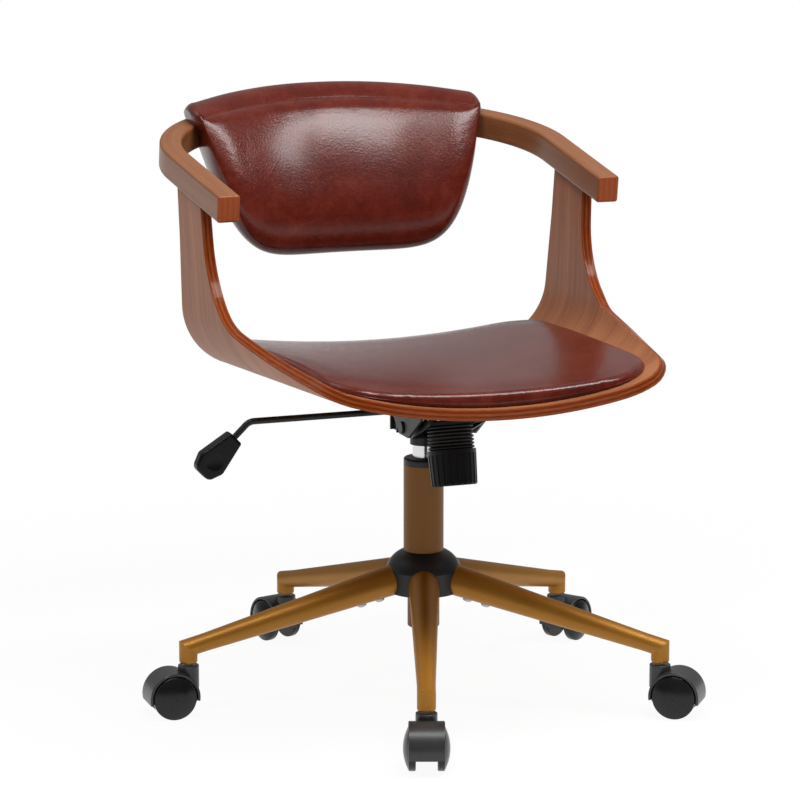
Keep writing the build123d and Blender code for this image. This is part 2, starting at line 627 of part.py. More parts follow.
def spring_washer():
    hole = tension_disc(TENSION_BOLT_D / 2 + RUN_FIT, KNOB_TOP, KNOB_TOP + WASHER_T)
    return tension_disc(SPRING_D / 2 + BELLOWS_WALL, KNOB_TOP, KNOB_TOP + WASHER_T) - hole


def tension_knob():
    top = KNOB_TOP - FACE_FIT
    body = Solid.make_cone(KNOB_FOOT_D / 2, KNOB_TOP_D / 2, KNOB_H, Plane(origin=(0, 0, top - KNOB_H)))
    body = fillet(body.edges().sort_by(Axis.Z)[0], KNOB_ROUND)
    for index in range(KNOB_FLUTES):
        turn = 360 / KNOB_FLUTES * index
        low = Vector(KNOB_FOOT_D / 2 + FLUTE_D * FLUTE_SINK, 0, top - KNOB_H - 1).rotate(Axis.Z, turn)
        high = Vector(KNOB_TOP_D / 2 + FLUTE_D * FLUTE_SINK, 0, top - KNOB_H * FLUTE_STOP)
        high = high.rotate(Axis.Z, turn)
        body -= rod(low, high, FLUTE_D / 2)
    body -= Pos(0, 0, top - KNOB_H + KNOB_FLOOR) * extrude(Circle(TENSION_BOLT_D / 2 + RUN_FIT), KNOB_H)
    return TENSION * body


# Height lever

DROP = math.radians(LEVER_DROP)
LEVER_OUT = Vector(-math.cos(DROP), 0, -math.sin(DROP))
LEVER_BEND = Vector(LEVER_BEND_X, 0, LEVER_Z)


def lever_rod():
    end = LEVER_BEND + LEVER_OUT * LEVER_TAIL
    path = FilletPolyline((LEVER_INNER, 0, LEVER_Z), LEVER_BEND, end, radius=LEVER_BEND_R)
    return sweep(Plane(origin=(LEVER_INNER, 0, LEVER_Z), z_dir=(-1, 0, 0)) * Circle(LEVER_D / 2), path)


def lever_grip():
    # flat paddle in the lever's plane, with a shallow thumb dish on each face
    start = LEVER_BEND + LEVER_OUT * GRIP_START
    plane = Plane(origin=start, x_dir=LEVER_OUT, z_dir=(0, -1, 0))
    half = [(0, GRIP_NECK_W / 2), (GRIP_WIDE_AT, GRIP_W / 2), (GRIP_LEN, GRIP_END_W / 2)]
    outline = make_face(Polyline(half + [(along, -across) for along, across in reversed(half)], close=True))
    corners = outline.vertices().sort_by(Axis.X)
    outline = fillet(corners[2:], GRIP_CORNER_R)
    outline = fillet(outline.vertices().sort_by(Axis.X)[:2], GRIP_NECK_R)
    grip = extrude(outline, GRIP_T / 2, both=True)
    rims = grip.faces().sort_by(Axis.Z)
    grip = fillet(rims[0].edges() + rims[-1].edges(), GRIP_ROUND)
    for side in (1, -1):
        away = side * (GRIP_T / 2 + THUMB_DISH_R - THUMB_DISH_DEPTH)
        grip -= Pos(GRIP_WIDE_AT - GRIP_ROUND, 0, away) * Sphere(THUMB_DISH_R)
    grip = plane * grip
    bore_end = LEVER_BEND + LEVER_OUT * (LEVER_TAIL + FACE_FIT)
    return grip - rod(start - LEVER_OUT, bore_end, LEVER_D / 2 + RUN_FIT)


def lever_bush():
    bush = rod((LEVER_BUSH_X, -LEVER_BUSH_HALF, LEVER_Z), (LEVER_BUSH_X, LEVER_BUSH_HALF, LEVER_Z),
               LEVER_BUSH_D / 2)
    reach = LEVER_BUSH_HALF + FACE_FIT + EAR_T
    trunnions = rod((LEVER_BUSH_X, -reach, LEVER_Z), (LEVER_BUSH_X, reach, LEVER_Z), TRUNNION_D / 2)
    hole = rod((LEVER_BUSH_X - LEVER_BUSH_D, 0, LEVER_Z), (LEVER_BUSH_X + LEVER_BUSH_D, 0, LEVER_Z),
               LEVER_D / 2 + RUN_FIT)
    return Part() + bush + trunnions - hole


# Seat shell: its own frame has Y along the sheet's straight lines, with Z 0 on top of the dish

SEAT_FRAME = Pos(0, 0, SEAT_Z) * Rot(-SEAT_TILT, 0, 0)
DISH_END = math.degrees(math.asin(DISH_HALF / DISH_R))
DISH_CENTRE = (0.0, DISH_R)
BEND_CENTRE = arc_point(DISH_CENTRE, DISH_R - BEND_R, DISH_END - 90)
ARM_ANGLE = 90 - ARM_SPLAY


def sheet_points(grow):
    # foot and top of the straight arm on the +X side, grown outwards
    foot = arc_point(BEND_CENTRE, BEND_R + grow, ARM_ANGLE - 90)
    lean = math.radians(ARM_ANGLE)
    return foot, (foot[0] + ARM_RISE * math.cos(lean), foot[1] + ARM_RISE * math.sin(lean))


def sheet_line(grow):
    foot, top = sheet_points(grow)
    left_centre = (-BEND_CENTRE[0], BEND_CENTRE[1])
    return [Line((-top[0], top[1]), (-foot[0], foot[1])),
            arc(left_centre, BEND_R + grow, 270 - ARM_ANGLE, 270 - DISH_END),
            arc(DISH_CENTRE, DISH_R + grow, 270 - DISH_END, 270 + DISH_END),
            arc(BEND_CENTRE, BEND_R + grow, DISH_END - 90, ARM_ANGLE - 90),
            Line(foot, top)]


def sheet(low, high, front, back):
    # the bent sheet between two offsets of its upper face, in the seat's frame
    inner = sheet_line(low)
    outer = sheet_line(high)
    ends = [Line(inner[0] @ 0, outer[0] @ 0), Line(inner[-1] @ 1, outer[-1] @ 1)]
    face = Plane.XZ * make_face(inner + outer + ends)
    return Pos(0, back, 0) * extrude(face, back - front)


def dish_band(low, high, half, front, back):
    # part of the dish between two offsets, as wide as half to each side
    span = math.degrees(math.asin(half / DISH_R))
    inner = arc(DISH_CENTRE, DISH_R + low, 270 - span, 270 + span)
    outer = arc(DISH_CENTRE, DISH_R + high, 270 - span, 270 + span)
    ends = [Line(inner @ 0, outer @ 0), Line(inner @ 1, outer @ 1)]
    return SEAT_FRAME * Pos(0, back, 0) * extrude(Plane.XZ * make_face([inner, outer] + ends), back - front)


def seat_bolt(half_turn, along, low, high, radius):
    # cylinder square to the dish, between two offsets below its upper face
    turn = math.degrees(math.asin(half_turn / DISH_R))
    peg = Pos(0, 0, -DISH_R - high) * extrude(Circle(radius), high - low)
    return SEAT_FRAME * Pos(0, along, DISH_R) * Rot(0, -turn, 0) * peg


def seat_bolt_holes(radius):
    return [seat_bolt(side * SEAT_BOLT_X, along, -PLY * 2, PLY * 2, radius)
            for side in (1, -1) for along in SEAT_BOLT_Y]


def sheet_point(run, grow):
    # point in X and Z at a distance from the middle, measured round the upper face
    dish_run = DISH_R * math.radians(DISH_END)
    bend_run = BEND_R * math.radians(ARM_ANGLE - DISH_END)
    if run <= dish_run:
        return arc_point(DISH_CENTRE, DISH_R + grow, math.degrees(run / DISH_R) - 90)
    if run <= dish_run + bend_run:
        turn = DISH_END + math.degrees((run - dish_run) / BEND_R)
        return arc_point(BEND_CENTRE, BEND_R + grow, turn - 90)
    foot = arc_point(BEND_CENTRE, BEND_R + grow, ARM_ANGLE - 90)
    rise = run - dish_run - bend_run
    lean = math.radians(ARM_ANGLE)
    return (foot[0] + rise * math.cos(lean), foot[1] + rise * math.sin(lean))


def blank_edge():
    # front edge of the flat sheet before bending, from the middle to the top of one arm
    toe = math.radians(SIDE_TOE)
    turn = math.radians(90 - SIDE_TOE)
    cut = FRONT_CORNER_R * math.tan(turn / 2)
    corner_centre = (SIDE_RUN - cut, SEAT_FRONT + FRONT_CORNER_R)
    corner = arc(corner_centre, FRONT_CORNER_R, -90, -SIDE_TOE)
    meet = SIDE_RUN + (ARM_FRONT - SEAT_FRONT) * math.tan(toe)
    reach = ARM_SWEEP_R * math.tan(turn / 2)
    sweep_centre = (meet + reach, ARM_FRONT - ARM_SWEEP_R)
    sweep_arc = arc(sweep_centre, ARM_SWEEP_R, 180 - SIDE_TOE, 90)
    top = (sweep_centre[0] + ARM_RISE, ARM_FRONT)
    points = [(0, SEAT_FRONT), ((SIDE_RUN - cut) / 2, SEAT_FRONT)]
    points += [(point.X, point.Y) for point in (corner @ (step / 6) for step in range(7))]
    middle = (corner @ 1 + sweep_arc @ 0) / 2
    points += [(middle.X, middle.Y)]
    points += [(point.X, point.Y) for point in (sweep_arc @ (step / 6) for step in range(7))]
    return points + [((points[-1][0] + top[0]) / 2, ARM_FRONT), top]


def edge_cut():
    # ruled surface square to the sheet, along its whole front edge
    rims = []
    for grow in (-PLY, PLY * 2):
        half = []
        for run, along in blank_edge():
            x, height = sheet_point(run, grow)
            half.append((x, along, height))
        left = [(-x, along, height) for x, along, height in reversed(half[1:])]
        rims.append(Spline(*left, *half))
    return SEAT_FRAME * Face.make_surface_from_curves(rims[0].edge(), rims[1].edge())


def back_plane():
    rise = RAIL_Z - SEAT_Z
    fall = ARM_BACK_FOOT - ARM_BACK_TOP
    return Plane(origin=(0, ARM_BACK_FOOT, SEAT_Z), z_dir=(0, rise, fall))


RAIL_FRAME = Pos(0, RAIL_Y, RAIL_Z) * Rot(RAIL_SLOPE, 0, 0)


def arm_middle(height):
    # middle of the arm's sheet at a height of the seat's frame
    foot, top = sheet_points(PLY / 2)
    return foot[0] + (height - foot[1]) * (top[0] - foot[0]) / (top[1] - foot[1])


def dowel(side, along, grow):
    level = RAIL_Z + (along - RAIL_Y) * math.tan(math.radians(RAIL_SLOPE))
    x = side * arm_middle(level - SEAT_Z + along * math.tan(math.radians(SEAT_TILT)))
    seat = RAIL_FRAME * Pos(x, (along - RAIL_Y) / math.cos(math.radians(RAIL_SLOPE)), -RAIL_H / 2)
    length = DOWEL_DOWN + DOWEL_UP + grow * 2
    peg = Pos(0, 0, -DOWEL_DOWN - grow) * extrude(Circle(DOWEL_D / 2 + grow), length)
    return seat * peg


def dowels(grow):
    return [dowel(side, along, grow) for side in (1, -1) for along in DOWEL_Y]


def seat_shell():
    body = SEAT_FRAME * sheet(0, PLY, SEAT_FRONT * 1.3, ARM_BACK_FOOT * 1.3)
    body = split(body, back_plane(), Keep.BOTTOM)
    body = split(body, edge_cut(), Keep.ALL).solids().sort_by(Axis.Y)[-1]
    body -= RAIL_FRAME * Pos(0, 0, FAR / 2 - RAIL_H / 2) * Box(FAR * 2, FAR * 2, FAR)
    for hole in dowels(RUN_FIT):
        body -= hole
    for hole in seat_bolt_holes(SEAT_BOLT_D / 2 + BOLT_ROOM):
        body -= hole
    return body


def seat_plate():
    top = PLY + LAY_FIT
    plate = dish_band(top, top + PLATE_T, PLATE_HALF, PLATE_FRONT, PLATE_BACK)
    low = PIVOT_Z - FLANGE_DIP
    points = [(PLATE_FRONT, SEAT_Z + PLY), (PLATE_FRONT, TENSION_Z + CROSSBAR_LIFT),
              (PIVOT_Y - PIVOT_D * 2, low), (PIVOT_Y + PIVOT_D, low), (-LEVER_NOTCH, FLANGE_Z),
              (PLATE_BACK, FLANGE_Z), (PLATE_BACK, SEAT_Z + PLY)]
    flanges = side_prism(points, -FLANGE_OUT, -FLANGE_X) + side_prism(points, FLANGE_X, FLANGE_OUT)
    bar = Box(FLANGE_X * 2 + FLANGE_T / 2, CROSSBAR_HALF * 2, CROSSBAR_T)
    crossbar = TENSION * Pos(0, 0, CROSSBAR_LIFT + CROSSBAR_T / 2) * bar
    above = dish_band(-PAST, top, PLATE_HALF, SEAT_FRONT, -SEAT_FRONT)
    plate = plate + ((flanges + crossbar) - above)
    notch_low = FLANGE_Z - PLY * 2
    plate -= Pos(-FLANGE_X, 0, (notch_low + LEVER_NOTCH_TOP) / 2) * Box(FLANGE_T * 4, LEVER_NOTCH * 2,
                                                                        LEVER_NOTCH_TOP - notch_low)
    plate -= rod((-FAR, PIVOT_Y, PIVOT_Z), (FAR, PIVOT_Y, PIVOT_Z), PIVOT_D / 2 + RUN_FIT)
    plate -= tension_disc(TENSION_BOLT_D / 2 + BOLT_ROOM, 0, CROSSBAR_LIFT + CROSSBAR_T * 2)
    for hole in seat_bolt_holes(SEAT_BOLT_D / 2 + BOLT_ROOM):
        plate -= hole
    return plate


def seat_bolts():
    head = PLY + LAY_FIT + PLATE_T + FACE_FIT
    bolts = []
    for side in (1, -1):
        for along in SEAT_BOLT_Y:
            shank = seat_bolt(side * SEAT_BOLT_X, along, -LAY_FIT - BOARD_T, head, SEAT_BOLT_D / 2)
            cap = seat_bolt(side * SEAT_BOLT_X, along, head, head + SEAT_BOLT_HEAD_T, SEAT_BOLT_HEAD_D / 2)
            bolts.append(shank + cap)
    return bolts


def seat_board():
    board = dish_band(-LAY_FIT - BOARD_T, -LAY_FIT, BOARD_HALF, BOARD_FRONT, BOARD_BACK)
    for hole in seat_bolt_holes(SEAT_BOLT_D / 2 + BOLT_ROOM):
        board -= hole
    return board


def sheet_height(across):
    # height of the sheet's upper face at a distance from the middle
    if across <= DISH_HALF:
        return DISH_R - math.sqrt(DISH_R**2 - across**2)
    return BEND_CENTRE[1] - math.sqrt(BEND_R**2 - (across - BEND_CENTRE[0])**2)


def pad_body(low, drop):
    # block with the pad's hollow top, wider than its plan and lower by drop
    half = PAD_CROWN_Y - SEAT_FRONT - PAD_INSET
    radius = half**2 / (2 * PAD_END_DROP)
    rise = sheet_height(PAD_HALF) + PAD_RIM - PAD_CROWN
    hollow_r = (PAD_HALF**2 + rise**2) / (2 * rise)
    reach = PAD_HALF + PAD_ROUND
    crown = PAD_CROWN - drop
    edge = crown + hollow_r - math.sqrt(hollow_r**2 - reach**2)
    top = ThreePointArc((-reach, edge), (0, crown), (reach, edge))
    lines = [top, Line((reach, edge), (reach, low)), Line((reach, low), (-reach, low)),
             Line((-reach, low), (-reach, edge))]
    turn = math.degrees(half * PAD_SWEEP / radius)
    section = Rot(turn, 0, 0) * Pos(0, 0, radius) * (Plane.XZ * make_face(lines))
    return Pos(0, PAD_CROWN_Y, -radius) * revolve(section, Axis((0, 0, 0), (-1, 0, 0)), turn * 2)


def pad_plan():
    # sides and back draw in between the corners
    front = SEAT_FRONT + PAD_INSET
    near = front + PAD_CORNER_R
    middle = (near + PAD_BACK - PAD_BACK_R) / 2
    side = (PAD_HALF + PAD_FRONT_HALF) / 2 - PAD_DRAW
    lines = [ThreePointArc((-PAD_HALF + PAD_BACK_R, PAD_BACK), (0, PAD_BACK - PAD_DRAW),
                           (PAD_HALF - PAD_BACK_R, PAD_BACK)),
             RadiusArc((PAD_HALF - PAD_BACK_R, PAD_BACK), (PAD_HALF, PAD_BACK - PAD_BACK_R), PAD_BACK_R),
             ThreePointArc((PAD_HALF, PAD_BACK - PAD_BACK_R), (side, middle), (PAD_FRONT_HALF, near)),
             RadiusArc((PAD_FRONT_HALF, near), (PAD_FRONT_HALF - PAD_CORNER_R, front), PAD_CORNER_R),
             Line((PAD_FRONT_HALF - PAD_CORNER_R, front), (-PAD_FRONT_HALF + PAD_CORNER_R, front)),
             RadiusArc((-PAD_FRONT_HALF + PAD_CORNER_R, front), (-PAD_FRONT_HALF, near), PAD_CORNER_R),
             ThreePointArc((-PAD_FRONT_HALF, near), (-side, middle), (-PAD_HALF, PAD_BACK - PAD_BACK_R)),
             RadiusArc((-PAD_HALF, PAD_BACK - PAD_BACK_R), (-PAD_HALF + PAD_BACK_R, PAD_BACK), PAD_BACK_R)]
    return make_face(lines)


def seat_pad():
    plan = pad_plan()
    pad = pad_body(-PLY, 0) & (Pos(0, 0, -FAR / 2) * extrude(plan, FAR))
    rim = pad.faces().sort_by(Axis.Z)[-1].outer_wire().edges()
    pad = fillet(rim, PAD_ROUND)
    core = Pos(0, 0, -FAR / 2) * extrude(offset(plan, -SEAM_DEPTH), FAR)
    pad -= (pad_body(0, PAD_ROUND) - pad_body(-PLY, PAD_ROUND + SEAM_WIDTH)) - core
    pad -= sheet(-LAY_FIT, PAST, SEAT_FRONT - PAST, -SEAT_FRONT)
    pocket = dish_band(-LAY_FIT * 2 - BOARD_T, PLY, BOARD_HALF + LAY_FIT, BOARD_FRONT - LAY_FIT,
                       BOARD_BACK + LAY_FIT)
    return SEAT_FRAME * pad - pocket


# Arm rail: outline in its own plane, arms along Y

TOE = math.radians(RAIL_TOE)
CORNER_START = -RAIL_TOE
CORNER_CENTRE = (RAIL_HALF + RAIL_STRAIGHT * math.sin(TOE) - RAIL_CORNER_R * math.cos(TOE),
                 RAIL_STRAIGHT * math.cos(TOE) + RAIL_CORNER_R * math.sin(TOE))
CORNER_END = math.degrees(math.acos(CORNER_CENTRE[0] / (RAIL_BACK_R - RAIL_CORNER_R)))
BACK_CENTRE = (0.0, CORNER_CENTRE[1] + (RAIL_CORNER_R - RAIL_BACK_R) * math.sin(math.radians(CORNER_END)))


def rail_line(grow):
    start = (RAIL_HALF + grow * math.cos(TOE), -grow * math.sin(TOE))
    corner = arc(CORNER_CENTRE, RAIL_CORNER_R + grow, CORNER_START, CORNER_END)
    left_centre = (-CORNER_CENTRE[0], CORNER_CENTRE[1])
    left = arc(left_centre, RAIL_CORNER_R + grow, 180 - CORNER_END, 180 - CORNER_START)
    middle = arc(BACK_CENTRE, RAIL_BACK_R + grow, CORNER_END, 180 - CORNER_END)
    return [Line(start, corner @ 0), corner, middle, left, Line(left @ 1, (-start[0], start[1]))]


def rail_band(low, high, half_height):
    # solid between two offsets of the rail's middle line
    inner = rail_line(low)
    outer = rail_line(high)
    ends = [Line(inner[0] @ 0, outer[0] @ 0), Line(inner[-1] @ 1, outer[-1] @ 1)]
    return extrude(make_face(inner + outer + ends), half_height, both=True)


def back_peg(degrees, low, high, radius):
    # cylinder square to the rail's back, between two offsets of its middle line
    start = arc_point(BACK_CENTRE, RAIL_BACK_R + low, 90 + degrees)
    end = arc_point(BACK_CENTRE, RAIL_BACK_R + high, 90 + degrees)
    return RAIL_FRAME * rod((start[0], start[1], 0), (end[0], end[1], 0), radius)


BACK_BOLT_TURNS = (-BACK_BOLT_ANGLE, 0.0, BACK_BOLT_ANGLE)


def arm_rail():
    rail = rail_band(-RAIL_W / 2, RAIL_W / 2, RAIL_H / 2)
    rail = RAIL_FRAME * fillet(rail.edges(), RAIL_ROUND)
    for hole in dowels(RUN_FIT):
        rail -= hole
    for turn in BACK_BOLT_TURNS:
        rail -= back_peg(turn, -RAIL_W, RAIL_W, BACK_BOLT_D / 2 + BOLT_ROOM)
        rail -= back_peg(turn, RAIL_W / 2 - BACK_BOLT_HEAD_T, RAIL_W, BACK_BOLT_HEAD_D / 2 + LAY_FIT)
    return rail


def back_bolts():
    seat = RAIL_W / 2 - BACK_BOLT_HEAD_T + FACE_FIT
    end = -RAIL_W / 2 - LAY_FIT - BACK_BOARD_T
    return [back_peg(turn, end, seat, BACK_BOLT_D / 2)
            + back_peg(turn, seat, seat + BACK_BOLT_HEAD_T, BACK_BOLT_HEAD_D / 2) for turn in BACK_BOLT_TURNS]


def board_band(grow):
    low = RAIL_BACK_R - RAIL_W / 2 - LAY_FIT - BACK_BOARD_T - grow
    high = RAIL_BACK_R - RAIL_W / 2 - LAY_FIT + grow
    reach = BACK_BOARD_ANGLE + math.degrees(grow / RAIL_BACK_R)
    inner = arc(BACK_CENTRE, low, 90 - reach, 90 + reach)
    outer = arc(BACK_CENTRE, high, 90 - reach, 90 + reach)
    ends = [Line(inner @ 0, outer @ 0), Line(inner @ 1, outer @ 1)]
    return RAIL_FRAME * extrude(make_face([inner, outer] + ends), BACK_BOARD_H / 2 + grow, both=True)


def back_board():
    corners = rail_band(-RAIL_W / 2 - LAY_FIT, RAIL_W, BACK_BOARD_H)
    board = board_band(0) - RAIL_FRAME * corners
    for turn in BACK_BOLT_TURNS:
        board -= back_peg(turn, -RAIL_W, 0, BACK_BOLT_D / 2 + BOLT_ROOM)
    return board


def back_section(x):
    # upright cut through the back pad at X: four arcs, with the sewn channel between front and top
    share = abs(x) / BACK_HALF
    top = BACK_TOP - BACK_ARCH * share**2
    depth = (1 - share**BACK_SIDE_SHAPE)**(1 / BACK_FOOT_SHAPE)
    bottom = BACK_BOTTOM + (top - BACK_END_H - BACK_BOTTOM) * (1 - depth)
    height = top - bottom
    seam = top - min(BACK_SEAM, height * BACK_SEAM_SHARE)
    foot = bottom + min(BACK_SEAM, height * BACK_SEAM_SHARE)
    lean = math.tan(math.radians(BACK_LEAN))
    rear_lean = math.tan(math.radians(BACK_REAR_LEAN))
    front = BACK_FRONT_Y - x * x / (2 * BACK_FRONT_R)
    rear = BACK_REAR_Y - x * x / (2 * BACK_REAR_R)
    front_seam = front + lean * (seam - BACK_TOP + BACK_SEAM)
    front_foot = front + lean * (foot - BACK_TOP + BACK_SEAM)
    rear_seam = rear + rear_lean * (seam - BACK_TOP + BACK_SEAM)
    rear_foot = rear + rear_lean * (foot - BACK_TOP + BACK_SEAM)
    crown = min(BACK_CROWN, height * BACK_CROWN_SHARE)
    bulge = min(BACK_BULGE, height * BACK_BULGE_SHARE)
    mid = (seam + foot) / 2
    under_seam = (front_seam, seam - SEAM_WIDTH / 2)
    in_seam = (front_seam + SEAM_DEPTH, seam)
    over_seam = (front_seam, seam + SEAM_WIDTH / 2)
    lines = [ThreePointArc((front_foot, foot), ((front_foot + front_seam) / 2 - crown, mid), under_seam),
             Line(under_seam, in_seam), Line(in_seam, over_seam),
             ThreePointArc(over_seam, ((front_seam + rear_seam) / 2, top), (rear_seam, seam)),
             ThreePointArc((rear_seam, seam), ((rear_seam + rear_foot) / 2 + bulge, mid), (rear_foot, foot)),
             ThreePointArc((rear_foot, foot), ((front_foot + rear_foot) / 2, bottom), (front_foot, foot))]
    return Pos(x, 0, 0) * (Plane.YZ * make_face(lines))


def back_pad():
    places = [-share * BACK_HALF for share in reversed(BACK_STATIONS[1:])]
    places += [share * BACK_HALF for share in BACK_STATIONS]
    pad = loft([back_section(x) for x in places])
    channel = RAIL_FRAME * rail_band(-RAIL_W / 2 - LAY_FIT, RAIL_W * 2, RAIL_H / 2 + LAY_FIT)
    return pad - channel - board_band(LAY_FIT)


def build():
    os.makedirs("parts", exist_ok=True)
    save("base_hub", base_hub())
    save("hub_cover", hub_cover())
    leg = base_leg()
    bolts = leg_bolts()
    placed_bolts = []
    hood = caster_hood()
    wheels = {"left": caster_wheel(1), "right": caster_wheel(-1)}
    for index, heading in enumerate(LEG_HEADINGS, start=1):
        turn = Rot(0, 0, heading)
        save(f"base_leg_{index}", turn * leg)
        placed_bolts += [turn * bolt for bolt in bolts]
        place = turn * Pos(STEM_CIRCLE, 0, 0)
        save(f"caster_hood_{index}", place * hood)
        save(f"caster_stem_{index}", place * caster_stem())
        save(f"caster_axle_{index}", place * caster_axle())
        for side, wheel in wheels.items():
            save(f"caster_wheel_{side}_{index}", place * wheel)
    save("leg_bolts", *placed_bolts)
    save("column_tube", column_tube())
    save("column_bush", column_bush())
    save("thrust_bearing", thrust_bearing())
    save("piston_rod", piston_rod())
    save("rod_clip", rod_clip())
    save("gas_cylinder", gas_cylinder())
    save("release_pin", release_pin())
    save("tilt_housing", tilt_housing())
    save("tilt_pivot", tilt_pivot())
    save("tension_bolt", tension_bolt())
    save("tension_bellows", tension_bellows())
    save("tension_spring", tension_spring())
    save("spring_washer", spring_washer())
    save("tension_knob", tension_knob())
    save("lever_rod", lever_rod())
    save("lever_grip", lever_grip())
    save("lever_bush", lever_bush())
    save("seat_plate", seat_plate())
    save("seat_bolts", *seat_bolts())
    save("seat_shell", seat_shell())
    save("seat_board", seat_board())
    save("seat_pad", seat_pad())
    save("arm_rail", arm_rail())
    save("arm_dowels", *dowels(0))
    save("back_board", back_board())
    save("back_bolts", *back_bolts())
    save("back_pad", back_pad())


build()
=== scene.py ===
import bpy
import bmesh
import json
import math
import numpy
from mathutils import Matrix, Vector
from mathutils.bvhtree import BVHTree
from mathutils.kdtree import KDTree


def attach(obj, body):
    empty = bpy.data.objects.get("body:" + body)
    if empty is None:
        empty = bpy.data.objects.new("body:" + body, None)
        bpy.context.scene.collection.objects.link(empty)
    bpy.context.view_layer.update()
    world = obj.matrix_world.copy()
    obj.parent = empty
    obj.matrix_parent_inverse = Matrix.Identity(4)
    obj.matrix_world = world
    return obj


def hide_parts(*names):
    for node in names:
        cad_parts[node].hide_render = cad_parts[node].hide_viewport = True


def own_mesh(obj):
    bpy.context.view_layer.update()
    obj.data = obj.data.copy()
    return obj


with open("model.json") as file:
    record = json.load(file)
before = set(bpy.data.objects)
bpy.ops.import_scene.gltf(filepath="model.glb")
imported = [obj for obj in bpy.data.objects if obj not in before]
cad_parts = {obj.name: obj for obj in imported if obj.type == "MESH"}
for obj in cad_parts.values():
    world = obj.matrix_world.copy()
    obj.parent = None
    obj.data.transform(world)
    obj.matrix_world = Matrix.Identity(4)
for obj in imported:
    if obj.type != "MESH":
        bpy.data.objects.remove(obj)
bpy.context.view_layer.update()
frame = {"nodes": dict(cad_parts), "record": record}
nodes = frame["nodes"]
mm = 0.001


def show(item):  # puts an object into the scene
    bpy.context.scene.collection.objects.link(item)


def finished(item):  # the object with its modifiers worked out
    return item.evaluated_get(bpy.context.evaluated_depsgraph_get())


class Wire:  # one shader socket, so that maths on it reads as arithmetic
    def __init__(self, tree, socket):
        self.tree = tree
        self.socket = socket

    def maths(self, operation, other=0.0, flipped=False):
        node = self.tree.nodes.new("ShaderNodeMath")
        node.operation = operation
        for port, value in zip(node.inputs, (other, self) if flipped else (self, other)):
            plug(self.tree, port, value)
        return Wire(self.tree, node.outputs[0])

    def __add__(self, other):
        return self.maths("ADD", other)

    def __sub__(self, other):
        return self.maths("SUBTRACT", other)

    def __rsub__(self, other):
        return self.maths("SUBTRACT", other, True)

    def __mul__(self, other):
        return self.maths("MULTIPLY", other)

    def __truediv__(self, other):
        return self.maths("DIVIDE", other)

    def __pow__(self, other):
        return self.maths("POWER", other)

    __radd__ = __add__
    __rmul__ = __mul__

    def wave(self):  # 0 to 1 and back, once per turn
        return self.maths("SINE") * 0.5 + 0.5


def plug(tree, port, value):
    if isinstance(value, Wire):
        tree.links.new(value.socket, port)
    else:
        port.default_value = value


class Finish:  # a material with one principled shader
    def __init__(self, name, **fixed):
        self.material = bpy.data.materials.new(name)
        self.material.use_nodes = True
        self.tree = self.material.node_tree
        self.tree.nodes.clear()
        self.shader = self.tree.nodes.new("ShaderNodeBsdfPrincipled")
        output = self.tree.nodes.new("ShaderNodeOutputMaterial")
        self.tree.links.new(self.shader.outputs[0], output.inputs[0])
        self.feed(**fixed)

    def feed(self, **values):  # socketName=value, with spaces written as _
        for name, value in values.items():
            plug(self.tree, self.shader.inputs[name.replace("_", " ")], value)

    def node(self, kind, settings=None, sockets=None, output=0):
        node = self.tree.nodes.new(kind)
        for key, value in (settings or {}).items():
            if key == "stops":
                ramp = node.color_ramp.elements
                while len(ramp) < len(value):
                    ramp.new(0.5)
                for stop, (place, colour) in zip(ramp, value):
                    stop.position = place
                    stop.color = (*colour, 1)
            else:
                setattr(node, key, value)
        for key, value in (sockets or {}).items():
            plug(self.tree, node.inputs[key], value)
        return Wire(self.tree, node.outputs[output])

    def place(self, scale=(1, 1, 1), turn=(0, 0, 0), source="Object"):
        coords = self.node("ShaderNodeTexCoord", output=source)
        return self.node("ShaderNodeMapping", sockets={"Vector": coords, "Scale": scale, "Rotation": turn})

    def noise(self, vector, scale, detail=3.0, rough=0.5, twist=0.0):
        return self.node("ShaderNodeTexNoise", sockets={"Vector": vector, "Scale": scale, "Detail": detail,
                                                        "Roughness": rough, "Distortion": twist})

    def ramp(self, factor, stops):
        return self.node("ShaderNodeValToRGB", {"stops": stops}, {"Fac": factor})

    def tone(self, factor, tones, low, high):  # dark, middle and light of a settings dictionary
        return self.ramp(factor, [(low, tones["dark"]), (0.5, tones["middle"]), (high, tones["light"])])

    def grain(self, along, across):
        return self.node("ShaderNodeCombineXYZ", sockets={"X": along, "Y": across})

    def mix(self, factor, low, high, blend="MIX"):
        settings = {"data_type": "RGBA", "blend_type": blend}
        return self.node("ShaderNodeMix", settings, {0: factor, 6: low, 7: high}, output=2)

    def bump(self, height, depth, strength=1.0):
        self.feed(Normal=self.node("ShaderNodeBump", sockets={"Height": height, "Distance": depth,
                                                              "Strength": strength}))


def dress(piece, *finishes):  # puts finishes on a piece in the order of its material slots
    slots = piece.data.materials
    for place, finish in enumerate(finishes):
        if place < len(slots):
            slots[place] = finish.material
        else:
            slots.append(finish.material)


leather = dict(dark=(0.055, 0.005, 0.0022), middle=(0.1, 0.0105, 0.0048), light=(0.155, 0.025, 0.0135),
               patch=15.0, cell=400.0, gloss=0.14)


